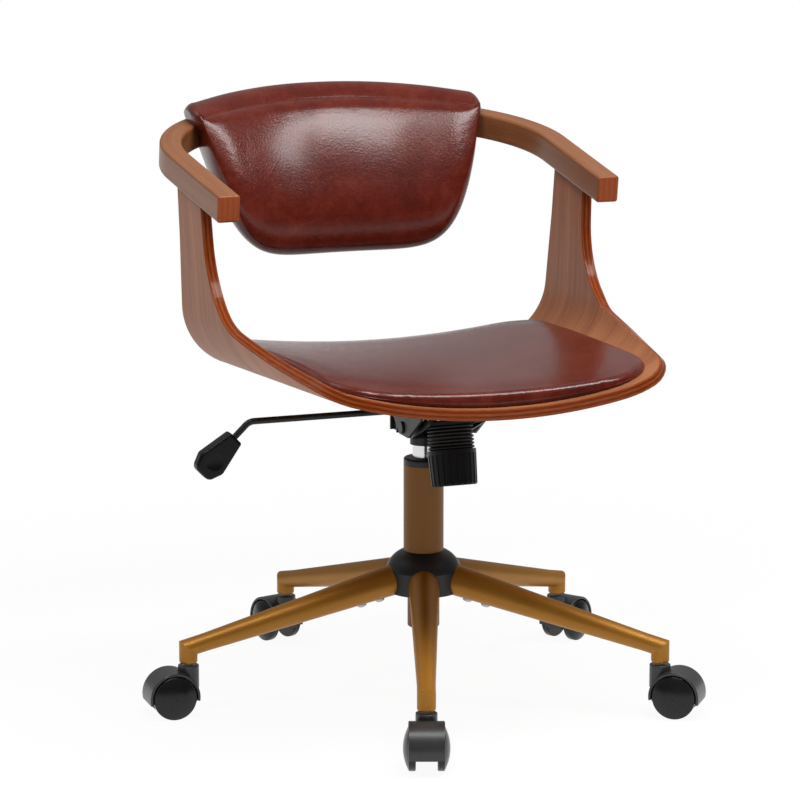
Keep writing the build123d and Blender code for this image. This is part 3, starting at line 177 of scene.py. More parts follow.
def leatherFinish():
    cover = Finish("glossyLeather", Specular_IOR_Level=0.3, Coat_Weight=0.22, Coat_Roughness=0.16)
    at = cover.place()
    patch = cover.noise(at, leather["patch"], 7.0, 0.66, 0.9)
    fleck = cover.noise(at, leather["patch"] * 8, 5.0, 0.7, 0.6)
    shade = patch * 0.6 + fleck * 0.4
    colour = cover.tone(shade, leather, 0.3, 0.72)
    cell = cover.node("ShaderNodeTexVoronoi", {"feature": "SMOOTH_F1"},
                      {"Vector": at, "Scale": leather["cell"], "Smoothness": 0.6})
    pore = cover.noise(at, leather["cell"] * 1.7, 2.0)
    cover.feed(Base_Color=colour, Roughness=leather["gloss"] + fleck * 0.1 + cell * 0.06)
    cover.bump(cell * 0.7 + pore * 0.3 + fleck * 0.3, 0.0003, 0.75)
    return cover


veneer = dict(dark=(0.2, 0.062, 0.022), middle=(0.345, 0.124, 0.05), light=(0.47, 0.2, 0.094))


def firstTwo(finish, vector):  # the X and Y of a vector
    split = finish.tree.nodes.new("ShaderNodeSeparateXYZ")
    finish.tree.links.new(vector.socket, split.inputs[0])
    return Wire(finish.tree, split.outputs[0]), Wire(finish.tree, split.outputs[1])


def surfaceLengths(finish, layer):  # the two lengths of a UV map
    return firstTwo(finish, finish.node("ShaderNodeUVMap", {"uv_map": layer}))


def veneerFinish():
    wood = Finish("walnutVeneer", Specular_IOR_Level=0.25)
    along, across = surfaceLengths(wood, "grain")
    broad = wood.noise(wood.grain(along * 1.6, across * 24.0), 1.0, 4.0, 0.55, 0.6)
    fine = wood.noise(wood.grain(along * 5.0, across * 300.0), 1.0, 3.0, 0.62, 0.2)
    dash = wood.noise(wood.grain(along * 70.0, across * 1500.0), 1.0, 1.0)
    shade = broad * 0.42 + fine * 0.43 + dash * 0.15
    wood.feed(Base_Color=wood.tone(shade, veneer, 0.36, 0.66), Roughness=0.38 + fine * 0.18)
    wood.bump(fine * 0.6 + dash * 0.4, 0.0001, 0.4)
    return wood


plyEdge = dict(dark=(0.08, 0.0105, 0.002), middle=(0.215, 0.037, 0.006), light=(0.34, 0.09, 0.022), plies=5)


def plyFinish():
    wood = Finish("lacqueredPlyEdge", Specular_IOR_Level=0.06, Coat_Weight=0.16, Coat_Roughness=0.1)
    along, across = surfaceLengths(wood, "grain")
    depth = across * (1000 / seatShell["ply"])  # 0 at the upper face, 1 at the lower
    wobble = wood.noise(wood.grain(along * 9.0, across * 40.0), 1.0, 2.0)
    stripe = ((depth + wobble * 0.05) * (plyEdge["plies"] * math.pi)).wave()
    fibre = wood.noise(wood.grain(along * 55.0, across * 900.0), 1.0, 4.0, 0.6)
    shade = stripe * 0.3 + fibre * 0.7
    wood.feed(Base_Color=wood.tone(shade, plyEdge, 0.2, 0.8), Roughness=0.22 + fibre * 0.14)
    wood.bump(stripe * 0.5 + fibre * 0.5, 0.00012, 0.35)
    return wood


def meshPiece(name, points, faces, maps=None, slots=None):
    # points in millimetres; maps holds one length pair per face corner
    mesh = bpy.data.meshes.new(name)
    mesh.from_pydata([Vector(p) * mm for p in points], [], faces)
    if maps:
        layer = mesh.uv_layers.new(name="grain")
        flat = [value * mm for face in maps for pair in face for value in pair]
        layer.data.foreach_set("uv", flat)
    if slots:
        mesh.polygons.foreach_set("material_index", slots)
    mesh.polygons.foreach_set("use_smooth", [True] * len(faces))
    mesh.update()
    piece = bpy.data.objects.new(name, mesh)
    show(piece)
    return piece


def slab(name, top, bottom, outward, profile, lengths, edgeSlot=0):
    # closed piece between two grids of points; profile lists its rim as (inset, share of depth, extra depth)
    rows, cols = len(top), len(top[0])
    points, faces, maps, slots = [], [], [], []
    ring = [(0, c) for c in range(cols)] + [(r, cols - 1) for r in range(1, rows)]
    ring += [(rows - 1, c) for c in range(cols - 2, -1, -1)] + [(r, 0) for r in range(rows - 2, 0, -1)]
    rim = {place: outward(place) for place in ring}
    index = {}
    for side, grid, inset in (("top", top, profile[0][0]), ("bottom", bottom, profile[-1][0])):
        for r in range(rows):
            for c in range(cols):
                point = Vector(grid[r][c])
                if (r, c) in rim:
                    point = point - rim[r, c] * inset
                index[side, r, c] = len(points)
                points.append(point)
    for r in range(rows - 1):
        for c in range(cols - 1):
            corners = [(r, c), (r, c + 1), (r + 1, c + 1), (r + 1, c)]
            for side, order in (("top", corners), ("bottom", corners[::-1])):
                faces.append([index[(side, *k)] for k in order])
                maps.append([lengths[k[0]][k[1]] for k in order])
                slots.append(0)
    deep = [(Vector(bottom[r][c]) - Vector(top[r][c])).length for r, c in ring]
    bands = [[index[("top", *k)] for k in ring]]
    for inset, share, extra in profile[1:-1]:
        band = []
        for k, depth in zip(ring, deep):
            r, c = k
            band.append(len(points))
            level = Vector(top[r][c]).lerp(Vector(bottom[r][c]), share + extra / depth)
            points.append(level - rim[k] * inset)
        bands.append(band)
    bands.append([index[("bottom", *k)] for k in ring])
    walk = [0.0]
    for a, b in zip(ring, ring[1:] + ring[:1]):
        walk.append(walk[-1] + (Vector(top[b[0]][b[1]]) - Vector(top[a[0]][a[1]])).length)
    count = len(ring)
    for level, (upper, lower) in enumerate(zip(bands, bands[1:])):
        high, low = profile[level], profile[level + 1]
        for i in range(count):
            j = (i + 1) % count
            faces.append([upper[i], lower[i], lower[j], upper[j]])
            maps.append([(walk[i], high[1] * deep[i] + high[2]),
                         (walk[i], low[1] * deep[i] + low[2]),
                         (walk[i + 1], low[1] * deep[j] + low[2]),
                         (walk[i + 1], high[1] * deep[j] + high[2])])
            slots.append(edgeSlot)
    piece = meshPiece(name, points, faces, maps, slots)
    turnOutward(piece.data)
    return piece


def turnOutward(mesh):
    shape = bmesh.new()
    shape.from_mesh(mesh)
    bmesh.ops.recalc_face_normals(shape, faces=shape.faces)
    shape.to_mesh(mesh)
    shape.free()


def roundRim(upper, lower, steps=3, belly=0.0, rows=5):
    # rim with a rounded upper and lower edge and a slight belly between them
    turns = [math.pi / 2 * i / steps for i in range(steps + 1)]
    high = [(upper * (1 - math.sin(t)), 0.0, upper * (1 - math.cos(t))) for t in turns]
    low = [(lower * (1 - math.sin(t)), 1.0, -lower * (1 - math.cos(t))) for t in reversed(turns)]
    middle = []
    for k in range(1, rows):
        share = k / rows
        middle.append((-belly * math.sin(math.pi * share), share, upper * (1 - share) - lower * share))
    return high + middle + low


seatShell = dict(ply=13.5, seatZ=401.2, tilt=3.96, dishR=726.0, dishHalf=184.6, bendR=74.6, splay=2.81,
                 front=-293.0, cornerR=95.0, sideRun=212.0, sideToe=10.5, armFront=69.5, sweepR=110.0,
                 backTop=178.0, backFoot=199.0, arris=1.4, acrossSteps=44)
armRail = dict(width=28.3, height=33.7, half=248.0, y=6.9, z=625.7, slope=8.29, toe=1.72, straight=194.5,
               cornerR=193.0, backR=450.0, arris=3.4)

dishEnd = math.asin(seatShell["dishHalf"] / seatShell["dishR"])
armAngle = math.radians(90 - seatShell["splay"])
dishRun = seatShell["dishR"] * dishEnd
bendRun = seatShell["bendR"] * (armAngle - dishEnd)
bendX = (seatShell["dishR"] - seatShell["bendR"]) * math.sin(dishEnd)
bendH = seatShell["dishR"] - (seatShell["dishR"] - seatShell["bendR"]) * math.cos(dishEnd)


def leaning(place, degrees):  # frame at a place, turned about X
    return Matrix.Translation(place) @ Matrix.Rotation(math.radians(degrees), 4, "X")


seatFrame = leaning((0, 0, seatShell["seatZ"]), -seatShell["tilt"])
railFrame = leaning((0, armRail["y"], armRail["z"]), armRail["slope"])


def sheetPoint(run, grow):  # place across the bent sheet: X and height above its lowest line
    side = math.copysign(1, run)
    run = abs(run)
    if run <= dishRun:
        turn = run / seatShell["dishR"]
        reach = seatShell["dishR"] + grow
        return side * reach * math.sin(turn), seatShell["dishR"] - reach * math.cos(turn)
    turn = min(dishEnd + (run - dishRun) / seatShell["bendR"], armAngle)
    rise = max(0.0, run - dishRun - bendRun)
    reach = seatShell["bendR"] + grow
    x = bendX + reach * math.sin(turn) + rise * math.cos(turn)
    return side * x, bendH - reach * math.cos(turn) + rise * math.sin(turn)


def onSheet(run, along, grow):
    x, height = sheetPoint(run, grow)
    return seatFrame @ Vector((x, along, height))


toe = math.radians(seatShell["sideToe"])
halfTurn = math.tan((math.pi / 2 - toe) / 2)
cornerRun = seatShell["sideRun"] - seatShell["cornerR"] * halfTurn
sideDepth = seatShell["armFront"] - seatShell["front"]
sweepRun = seatShell["sideRun"] + sideDepth * math.tan(toe) + seatShell["sweepR"] * halfTurn


def frontEdge(run):  # where the sheet begins, along its straight lines
    run = abs(run)
    radius, sweep = seatShell["cornerR"], seatShell["sweepR"]
    if run <= cornerRun:
        return seatShell["front"]
    if run <= cornerRun + radius * math.cos(toe):
        return seatShell["front"] + radius - math.sqrt(radius**2 - (run - cornerRun)**2)
    if run <= sweepRun - sweep * math.cos(toe):
        return seatShell["front"] + (run - seatShell["sideRun"]) / math.tan(toe)
    if run <= sweepRun:
        return seatShell["armFront"] - sweep + math.sqrt(max(0.0, sweep**2 - (sweepRun - run)**2))
    return seatShell["armFront"]


def backEdge(run, grow):  # where the flat back cut ends the sheet
    tilt = math.radians(seatShell["tilt"])
    rise = armRail["z"] - seatShell["seatZ"]
    fall = seatShell["backFoot"] - seatShell["backTop"]
    height = sheetPoint(run, grow)[1]
    reach = seatShell["backFoot"] * rise - height * (math.sin(tilt) * rise + math.cos(tilt) * fall)
    return reach / (math.cos(tilt) * rise - math.sin(tilt) * fall)


def topRun(along, grow):  # length round the sheet up to the rail's underside
    low, high = sweepRun, sweepRun + 200
    for _ in range(40):
        run = (low + high) / 2
        if (railFrame.inverted() @ onSheet(run, along, grow)).z < -armRail["height"] / 2:
            low = run
        else:
            high = run
    return low


def shellRuns():  # stations round one half of the sheet, close together where it bends
    runs = [cornerRun * i / 9 for i in range(9)]
    corner = seatShell["cornerR"] * math.cos(toe)
    runs += [cornerRun + corner * math.sin(math.pi / 2 * i / 12) for i in range(12)]
    start = cornerRun + corner
    end = sweepRun - seatShell["sweepR"] * math.cos(toe)
    runs += [start + (end - start) * i / 10 for i in range(10)]
    runs += [sweepRun - seatShell["sweepR"] * math.cos(toe + (math.pi / 2 - toe) * i / 16) for i in range(16)]
    return runs + [sweepRun + (shellTop - sweepRun) * i / 7 for i in range(8)]


shellTop = topRun(seatShell["armFront"], 0)


def buildShell():
    half = shellRuns()
    runs = [-run for run in reversed(half[1:])] + half
    steps = seatShell["acrossSteps"]
    grids, lengths = [], []
    for grow in (0, seatShell["ply"]):
        grid = []
        for run in runs:
            near, far = frontEdge(run), backEdge(run, grow)
            column = []
            for k in range(steps + 1):
                along = near + (far - near) * k / steps
                stretch = max(0.0, (abs(run) - sweepRun) / (shellTop - sweepRun))
                reach = abs(run) + stretch * (topRun(along, grow) - shellTop)
                column.append(onSheet(math.copysign(reach, run), along, grow))
                if grow == 0:
                    lengths.append((reach, along))
            grid.append(column)
        grids.append(grid)
    top, bottom = grids
    pairs = [lengths[i * (steps + 1):(i + 1) * (steps + 1)] for i in range(len(runs))]

    def outward(place):
        r, c = place
        if c in (0, steps):  # front and back edges run round the sheet
            before, after = Vector(top[max(r - 1, 0)][c]), Vector(top[min(r + 1, len(runs) - 1)][c])
            sign = -1 if c == 0 else 1
        else:
            before, after = Vector(top[r][max(c - 1, 0)]), Vector(top[r][min(c + 1, steps)])
            sign = -1 if r else 1
        normal = Vector(bottom[r][c]) - Vector(top[r][c])
        return (normal.cross(after - before)).normalized() * sign * -1

    profile = roundRim(seatShell["arris"], seatShell["arris"], 3, 0.0, 6)
    shell = slab("seatShell", top, bottom, outward, profile, pairs, edgeSlot=1)
    dress(shell, veneerFinish(), plyFinish())
    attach(shell, "seat")
    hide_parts("seat_shell")
    print("shell:", len(shell.data.polygons), "faces")
    return shell


shell = buildShell()


def railPath():  # middle line of the rail in its own plane, from the -X end to the +X end
    lean = math.radians(armRail["toe"])
    radius, back = armRail["cornerR"], armRail["backR"]
    cx = armRail["half"] + armRail["straight"] * math.sin(lean) - radius * math.cos(lean)
    cy = armRail["straight"] * math.cos(lean) + radius * math.sin(lean)
    meet = math.acos(cx / (back - radius))
    by = cy - (back - radius) * math.sin(meet)
    half = [(armRail["half"] + d * math.sin(lean), d * math.cos(lean)) for d in
            [armRail["straight"] * i / 6 for i in range(6)]]
    half += [(cx + radius * math.cos(t), cy + radius * math.sin(t)) for t in
             [-lean + (meet + lean) * i / 26 for i in range(26)]]
    half += [(back * math.cos(t), by + back * math.sin(t)) for t in
             [meet + (math.pi / 2 - meet) * i / 10 for i in range(11)]]
    return [(-x, y) for x, y in half] + [(x, y) for x, y in reversed(half[:-1])]


def treeWith(name, inputs):  # empty geometry tree with named size inputs
    tree = bpy.data.node_groups.new(name, "GeometryNodeTree")
    tree.interface.new_socket("Geometry", in_out="INPUT", socket_type="NodeSocketGeometry")
    for label, value in inputs.items():
        kind = "NodeSocketInt" if isinstance(value, int) else "NodeSocketFloat"
        tree.interface.new_socket(label, in_out="INPUT", socket_type=kind).default_value = value
    tree.interface.new_socket("Geometry", in_out="OUTPUT", socket_type="NodeSocketGeometry")
    return tree


class Tree:  # builds a geometry tree one node at a time
    def __init__(self, name, inputs):
        self.tree = treeWith(name, inputs)
        self.start = self.tree.nodes.new("NodeGroupInput")
        self.end = self.tree.nodes.new("NodeGroupOutput")

    def node(self, kind, settings=None, sockets=None):
        node = self.tree.nodes.new(kind)
        for key, value in (settings or {}).items():
            setattr(node, key, value)
        for key, value in (sockets or {}).items():
            if isinstance(value, bpy.types.NodeSocket):
                self.tree.links.new(value, node.inputs[key])
            else:
                node.inputs[key].default_value = value
        return node

    def close(self, geometry, finish):
        solid = self.node("GeometryNodeRealizeInstances", sockets={"Geometry": geometry})
        paint = self.node("GeometryNodeSetMaterial",
                          sockets={"Geometry": solid.outputs[0], "Material": finish.material})
        self.tree.links.new(paint.outputs[0], self.end.inputs[0])


def pieceFrom(name, tree, source, values=None):
    # runs a geometry tree on a source mesh or curve and keeps the result as a plain mesh
    holder = bpy.data.objects.new(name + "Source", source)
    show(holder)
    step = holder.modifiers.new("build", "NODES")
    step.node_group = tree.tree
    for item in tree.tree.interface.items_tree:
        if item.in_out == "INPUT" and item.name in (values or {}):
            step[item.identifier] = values[item.name]
    bpy.context.view_layer.update()
    mesh = bpy.data.meshes.new_from_object(finished(holder))
    bpy.data.objects.remove(holder)
    mesh.name = name
    piece = bpy.data.objects.new(name, mesh)
    show(piece)
    return piece


def lineCurve(name, points, cyclic=False):
    curve = bpy.data.curves.new(name, "CURVE")
    curve.dimensions = "3D"
    spline = curve.splines.new("POLY")
    spline.points.add(len(points) - 1)
    for point, place in zip(spline.points, points):
        point.co = (*place, 1)
    spline.use_cyclic_u = cyclic
    return curve


railTone = dict(dark=(0.14, 0.043, 0.0145), middle=(0.245, 0.09, 0.034), light=(0.345, 0.148, 0.065))
endTone = dict(dark=(0.2, 0.032, 0.0055), middle=(0.31, 0.062, 0.012), light=(0.41, 0.105, 0.027))


def railFinishes():
    wood = Finish("railWood", Specular_IOR_Level=0.18, Coat_Weight=0.08, Coat_Roughness=0.2)
    along = wood.node("ShaderNodeAttribute", {"attribute_name": "along"}, output="Fac")
    section = wood.node("ShaderNodeAttribute", {"attribute_name": "section"}, output="Vector")
    side, up = firstTwo(wood, section)
    across = side + up * 1.31
    broad = wood.noise(wood.grain(along * 2.0, across * 60.0), 1.0, 3.0, 0.5, 0.4)
    fine = wood.noise(wood.grain(along * 9.0, across * 520.0), 1.0, 3.0, 0.6)
    shade = broad * 0.45 + fine * 0.55
    wood.feed(Base_Color=wood.tone(shade, railTone, 0.22, 0.78), Roughness=0.3 + fine * 0.16)
    wood.bump(fine, 0.0001, 0.4)
    end = Finish("railEndGrain", Specular_IOR_Level=0.15, Coat_Weight=0.12, Coat_Roughness=0.16)
    section = end.node("ShaderNodeAttribute", {"attribute_name": "section"}, output="Vector")
    side, up = firstTwo(end, section)
    layer = (side * (2 * math.pi / 0.0071)).wave()
    fibre = end.noise(end.grain(side * 900.0, up * 260.0), 1.0, 3.0, 0.6)
    shade = layer * 0.12 + fibre * 0.6 + 0.14
    end.feed(Base_Color=end.tone(shade, endTone, 0.25, 0.78), Roughness=0.28 + fibre * 0.14)
    end.bump(fibre, 0.0001, 0.4)
    return wood, end


def buildRail():
    wood, end = railFinishes()
    tree = Tree("railSweep", {"Width": armRail["width"] * mm, "Height": armRail["height"] * mm,
                              "Arris": armRail["arris"] * mm})
    size = tree.start.outputs
    along = tree.node("GeometryNodeSplineParameter")
    path = tree.node("GeometryNodeStoreNamedAttribute", {"data_type": "FLOAT", "domain": "POINT"},
                     {"Geometry": size["Geometry"], "Name": "along", "Value": along.outputs["Length"]})
    upright = tree.node("GeometryNodeSetCurveNormal", {"mode": "Z_UP"}, {"Curve": path.outputs[0]})
    outline = tree.node("GeometryNodeCurvePrimitiveQuadrilateral",
                        sockets={"Width": size["Width"], "Height": size["Height"]})
    rounded = tree.node("GeometryNodeFilletCurve", {"mode": "POLY"}, {"Curve": outline.outputs[0], "Count": 5,
                                                                      "Radius": size["Arris"]})
    fine = tree.node("GeometryNodeResampleCurve", {"mode": "LENGTH"},
                     {"Curve": rounded.outputs[0], "Length": 0.0016})
    spot = tree.node("GeometryNodeInputPosition")
    marked = tree.node("GeometryNodeStoreNamedAttribute", {"data_type": "FLOAT_VECTOR", "domain": "POINT"},
                       {"Geometry": fine.outputs[0], "Name": "section", "Value": spot.outputs[0]})
    swept = tree.node("GeometryNodeCurveToMesh", sockets={"Curve": upright.outputs[0], "Fill Caps": True,
                                                          "Profile Curve": marked.outputs[0]})
    tree.close(swept.outputs[0], wood)
    points = [Vector((x, y, 0)) * mm for x, y in railPath()]
    rail = pieceFrom("armRail", tree, lineCurve("railLine", points))
    place = Matrix.Translation(railFrame.translation * mm) @ railFrame.to_3x3().to_4x4()
    rail.data.transform(place)
    dress(rail, wood, end)
    for face in rail.data.polygons:
        face.use_smooth = len(face.vertices) == 4
        face.material_index = 0 if len(face.vertices) == 4 else 1
    soften = rail.modifiers.new("endArris", "BEVEL")
    soften.width = 0.0024
    soften.segments = 3
    soften.limit_method = "ANGLE"
    soften.angle_limit = math.radians(50)
    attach(rail, "seat")
    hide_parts("arm_rail")
    print("rail:", len(rail.data.polygons), "faces")
    return rail


rail = buildRail()
cover = leatherFinish()

seatPad = dict(half=216.0, frontHalf=205.0, inset=12.0, back=190.0, cornerR=88.0, backR=60.0, draw=3.0,
               crown=35.0, crownY=60.0, rim=12.0, frontDrop=16.0, lift=0.6, roll=8.0, tuck=3.0, start=1.2,
               voxel=5.0, pressure=3.0, cap=2.0, spread=30)


def sheetHeight(x, grow):  # height of the bent sheet's upper face at a distance from the middle
    low, high = 0.0, dishRun + bendRun
    for _ in range(40):
        run = (low + high) / 2
        if sheetPoint(run, grow)[0] < abs(x):
            low = run
        else:
            high = run
    return sheetPoint(low, grow)[1]


padFront = seatShell["front"] + seatPad["inset"]
padNear, padFar = padFront + seatPad["cornerR"], seatPad["back"] - seatPad["backR"]
padRise = sheetHeight(seatPad["half"], 0) + seatPad["rim"] - seatPad["crown"]


def padHalfWidth(along, inset):  # half width of the plan, drawn in all round by the inset
    front, back = seatPad["cornerR"] - inset, seatPad["backR"] - inset
    if along < padNear:
        return seatPad["frontHalf"] - seatPad["cornerR"] + math.sqrt(max(0, front**2 - (padNear - along)**2))
    if along > padFar:
        return seatPad["half"] - seatPad["backR"] + math.sqrt(max(0, back**2 - (along - padFar)**2))
    share = (along - padNear) / (padFar - padNear)
    drawn = seatPad["draw"] * math.sin(math.pi * share) + inset
    return seatPad["frontHalf"] + (seatPad["half"] - seatPad["frontHalf"]) * share - drawn


def padTop(x, along):
    away = (along - seatPad["crownY"]) / (seatPad["crownY"] - padFront)
    return seatPad["crown"] + padRise * (x / seatPad["half"])**2 - seatPad["frontDrop"] * away**2


def pointsOf(mesh):
    flat = numpy.empty(len(mesh.vertices) * 3)
    mesh.vertices.foreach_get("co", flat)
    return flat.reshape(-1, 3)


def evenOut(mesh, values, rounds):  # averages values between neighbouring points
    ends = numpy.empty(len(mesh.edges) * 2, dtype=int)
    mesh.edges.foreach_get("vertices", ends)
    one, two = ends.reshape(-1, 2).T
    count = numpy.bincount(ends, minlength=len(mesh.vertices))[:, None] + 1
    for _ in range(rounds):
        total = values.copy()
        numpy.add.at(total, one, values[two])
        numpy.add.at(total, two, values[one])
        values = total / count
    return values


def inflate(piece, settings, held):
    # swells a padded piece by cloth simulation; held says which points stay, and the cap limits the rest
    trial = bpy.data.objects.new(piece.name + "Trial", piece.data)  # an evenly meshed copy is simulated
    show(trial)
    remesh = trial.modifiers.new("evenMesh", "REMESH")
    remesh.mode = "VOXEL"
    remesh.voxel_size = settings["voxel"] * mm
    even = bpy.data.meshes.new_from_object(finished(trial))
    trial.modifiers.clear()
    trial.data = even
    rest = pointsOf(even)
    stay = trial.vertex_groups.new(name="held")
    for vertex in even.vertices:
        stay.add([vertex.index], held(vertex.co), "REPLACE")
    cloth = trial.modifiers.new("swell", "CLOTH")
    cloth.settings.use_pressure = True
    cloth.settings.uniform_pressure_force = settings["pressure"]
    cloth.settings.vertex_group_mass = "held"
    cloth.settings.effector_weights.gravity = 0
    cloth.settings.quality = 6
    cloth.settings.tension_stiffness = cloth.settings.compression_stiffness = 25
    scene = bpy.context.scene
    for number in range(1, 21):
        scene.frame_set(number)
    moved = pointsOf(finished(trial).data)
    bpy.data.objects.remove(trial)
    scene.frame_set(1)
    step = moved - rest
    far = numpy.linalg.norm(step, axis=1, keepdims=True)
    step *= numpy.minimum(1.0, settings["cap"] * mm / numpy.maximum(far, 1e-9))
    step = evenOut(even, step, settings["spread"])  # a tight cover keeps the broad swelling and no folds
    tree = KDTree(len(rest))
    for k, point in enumerate(rest):
        tree.insert(point, k)
    tree.balance()
    for vertex in piece.data.vertices:
        near = tree.find_n(vertex.co, 6)
        weights = [1 / (distance + mm) for _, _, distance in near]
        shift = sum(step[k] * weight for (_, k, _), weight in zip(near, weights)) / sum(weights)
        vertex.co += Vector(shift)
    finer = piece.modifiers.new("finer", "SUBSURF")
    finer.levels = finer.render_levels = 1
    smooth = bpy.data.meshes.new_from_object(finished(piece))
    piece.modifiers.clear()
    piece.data = smooth
    smooth.polygons.foreach_set("use_smooth", [True] * len(smooth.polygons))
    print("swelled", piece.name, len(smooth.polygons), "faces")


def buildSeatPad():
    roll = seatPad["roll"]
    rows = [padNear - (seatPad["cornerR"] - roll) * math.cos(math.pi / 2 * i / 16) for i in range(16)]
    rows += [padNear + (padFar - padNear) * i / 34 for i in range(34)]
    rows += [padFar + (seatPad["backR"] - roll) * math.sin(math.pi / 2 * i / 12) for i in range(13)]
    cols = 56
    shrink = seatPad["start"]  # the pad swells back to its size
    top, bottom, lengths = [], [], []
    for along in rows:
        half = padHalfWidth(along, roll)
        upper, lower, pair = [], [], []
        for k in range(cols + 1):
            x = half * math.sin((2 * k / cols - 1) * 1.2) / math.sin(1.2)
            floor = sheetHeight(x, -seatPad["lift"])
            upper.append(seatFrame @ Vector((x, along, padTop(x, along) - shrink)))
            lower.append(seatFrame @ Vector((x, along, floor)))
            pair.append((x, along))
        top.append(upper)
        bottom.append(lower)
        lengths.append(pair)

    def outward(place):
        r, c = place
        last = len(rows) - 1
        if r in (0, last) and 0 < c < cols:
            return Vector((0, -1, 0)) if r == 0 else Vector((0, 1, 0))
        sign = 1 if c == cols else -1
        if r in (0, last):
            return Vector((sign, -1 if r == 0 else 1, 0)).normalized()
        step = Vector(top[r + 1][c]) - Vector(top[r - 1][c])
        flat = Vector((step.y, -step.x, 0)).normalized()
        return flat if flat.x * sign > 0 else -flat

    rim = [(inset - roll, share, extra) for inset, share, extra in roundRim(roll, seatPad["tuck"], 5, 0.6, 3)]
    pad = slab("seatPad", top, bottom, outward, rim, lengths)
    level = seatFrame.inverted()

    def held(point):  # what lies on the sheet stays
        local = level @ (point / mm)
        return 1.0 if local.z < sheetHeight(min(abs(local.x), 250), 0) + 3.0 else 0.0

    inflate(pad, seatPad, held)
    for vertex in pad.data.vertices:  # nothing sinks into the sheet
        local = level @ (vertex.co / mm)
        local.z = max(local.z, sheetHeight(abs(local.x), -seatPad["lift"]))
        vertex.co = (seatFrame @ local) * mm
    pad.data.update()
    dress(pad, cover)
    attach(pad, "seat")
    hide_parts("seat_pad")
    print("seat pad:", len(pad.data.polygons), "faces")
    return pad


pad = buildSeatPad()

backPad = dict(half=190.0, rounding=10.0, top=730.0, bottom=513.5, arch=12.0, endHeight=38.0, sideShape=6.0,
               footShape=1.1, frontY=366.0, frontR=310.0, lean=22.7, rearY=428.0, rearR=402.0, rearLean=26.0,
               seam=17.0, foot=86.0, crown=12.0, crownRun=95.0, endRun=75.0, edgePuff=8.5, edgeRun=15.0,
               sideRun=42.0, gap=0.6, start=2.0, voxel=5.0, pressure=4.0, cap=2.8, spread=30, groove=0.8,
               grooveWidth=1.7)


def rise(distance, reach, power):  # how far a rolled edge has risen at a distance from it, 0 to 1
    return 1 - max(0.0, 1 - distance / max(reach, 1e-6))**power


def backSection(x):  # outline of the back cushion at one place across it: front, underside, back, top
    share = min(1.0, abs(x) / backPad["half"])
    shrink = backPad["start"]
    top = backPad["top"] - backPad["arch"] * share**2 - shrink
    deep = (1 - share**backPad["sideShape"])**(1 / backPad["footShape"])
    bottom = backPad["bottom"] + (top - backPad["endHeight"] - backPad["bottom"]) * (1 - deep) + shrink
    height = top - bottom
    seam, foot = top - min(backPad["seam"], height * 0.35), bottom + min(backPad["foot"], height * 0.4)
    level = backPad["top"] - backPad["seam"]
    slope = math.tan(math.radians(backPad["lean"]))
    rearSlope = math.tan(math.radians(backPad["rearLean"]))
    front = backPad["frontY"] - x * x / (2 * backPad["frontR"]) + shrink
    rear = backPad["rearY"] - x * x / (2 * backPad["rearR"]) - shrink
    frontSeam, frontFoot = front + slope * (seam - level), front + slope * (foot - level)
    rearSeam, rearFoot = rear + rearSlope * (seam - level), rear + rearSlope * (foot - level)
    end = (1 - share) * backPad["half"]
    roll = backPad["edgePuff"] * rise(end, backPad["sideRun"], 2)  # a tight roll, then a broad crown
    puff = backPad["crown"] * rise(end, backPad["endRun"], 2)
    crown = roll + puff
    run = seam - foot
    points = []
    for k in range(32):  # down the front, closer together at the seam
        t = (k / 32)**1.5
        swell = roll * rise(run * t, min(backPad["edgeRun"], run * 0.3), 3)
        swell += puff * rise(run * t, min(backPad["crownRun"], run), 2)
        points.append((frontSeam + (frontFoot - frontSeam) * t - swell, seam + (foot - seam) * t))
    for k in range(20):  # round the underside, leaning as the faces do
        t = math.pi * k / 20
        middle, reach = (frontFoot - crown + rearFoot) / 2, (rearFoot - frontFoot + crown) / 2
        drop = (foot - bottom) * math.sin(t)
        shear = slope + (rearSlope - slope) * k / 20
        points.append((middle - reach * math.cos(t) - drop * shear, foot - drop))
    for k in range(22):  # up the back
        t = k / 22
        points.append((rearFoot + (rearSeam - rearFoot) * t + min(5.0, height * 0.04) * math.sin(math.pi * t),
                       foot + (seam - foot) * t))
    for k in range(24):  # over the top
        t = k / 24
        dome = 1 - abs(2 * t - 1)**1.8
        points.append((rearSeam + (frontSeam - rearSeam) * t, seam + (top - seam) * dome))
    return [Vector((x, y, z)) for y, z in points]


def backSections():
    places = [backPad["half"] * math.sin(math.pi / 2 * (k / 32 - 1)) for k in range(65)]
    sections = [backSection(x) for x in places]
    ends = []
    for side, section in ((-1, sections[0]), (1, sections[-1])):
        centre = sum(section, Vector()) / len(section)
        ring = []
        for turn in (25, 45, 62, 76, 86):  # rounded ends
            scale = 1 - (1 - math.cos(math.radians(turn))) * 0.75
            push = Vector((side * backPad["rounding"] * math.sin(math.radians(turn)), 0, 0))
            ring.append([centre + (point - centre) * scale + push for point in section])
        ends.append(ring)
    return ends[0][::-1] + sections + ends[1]


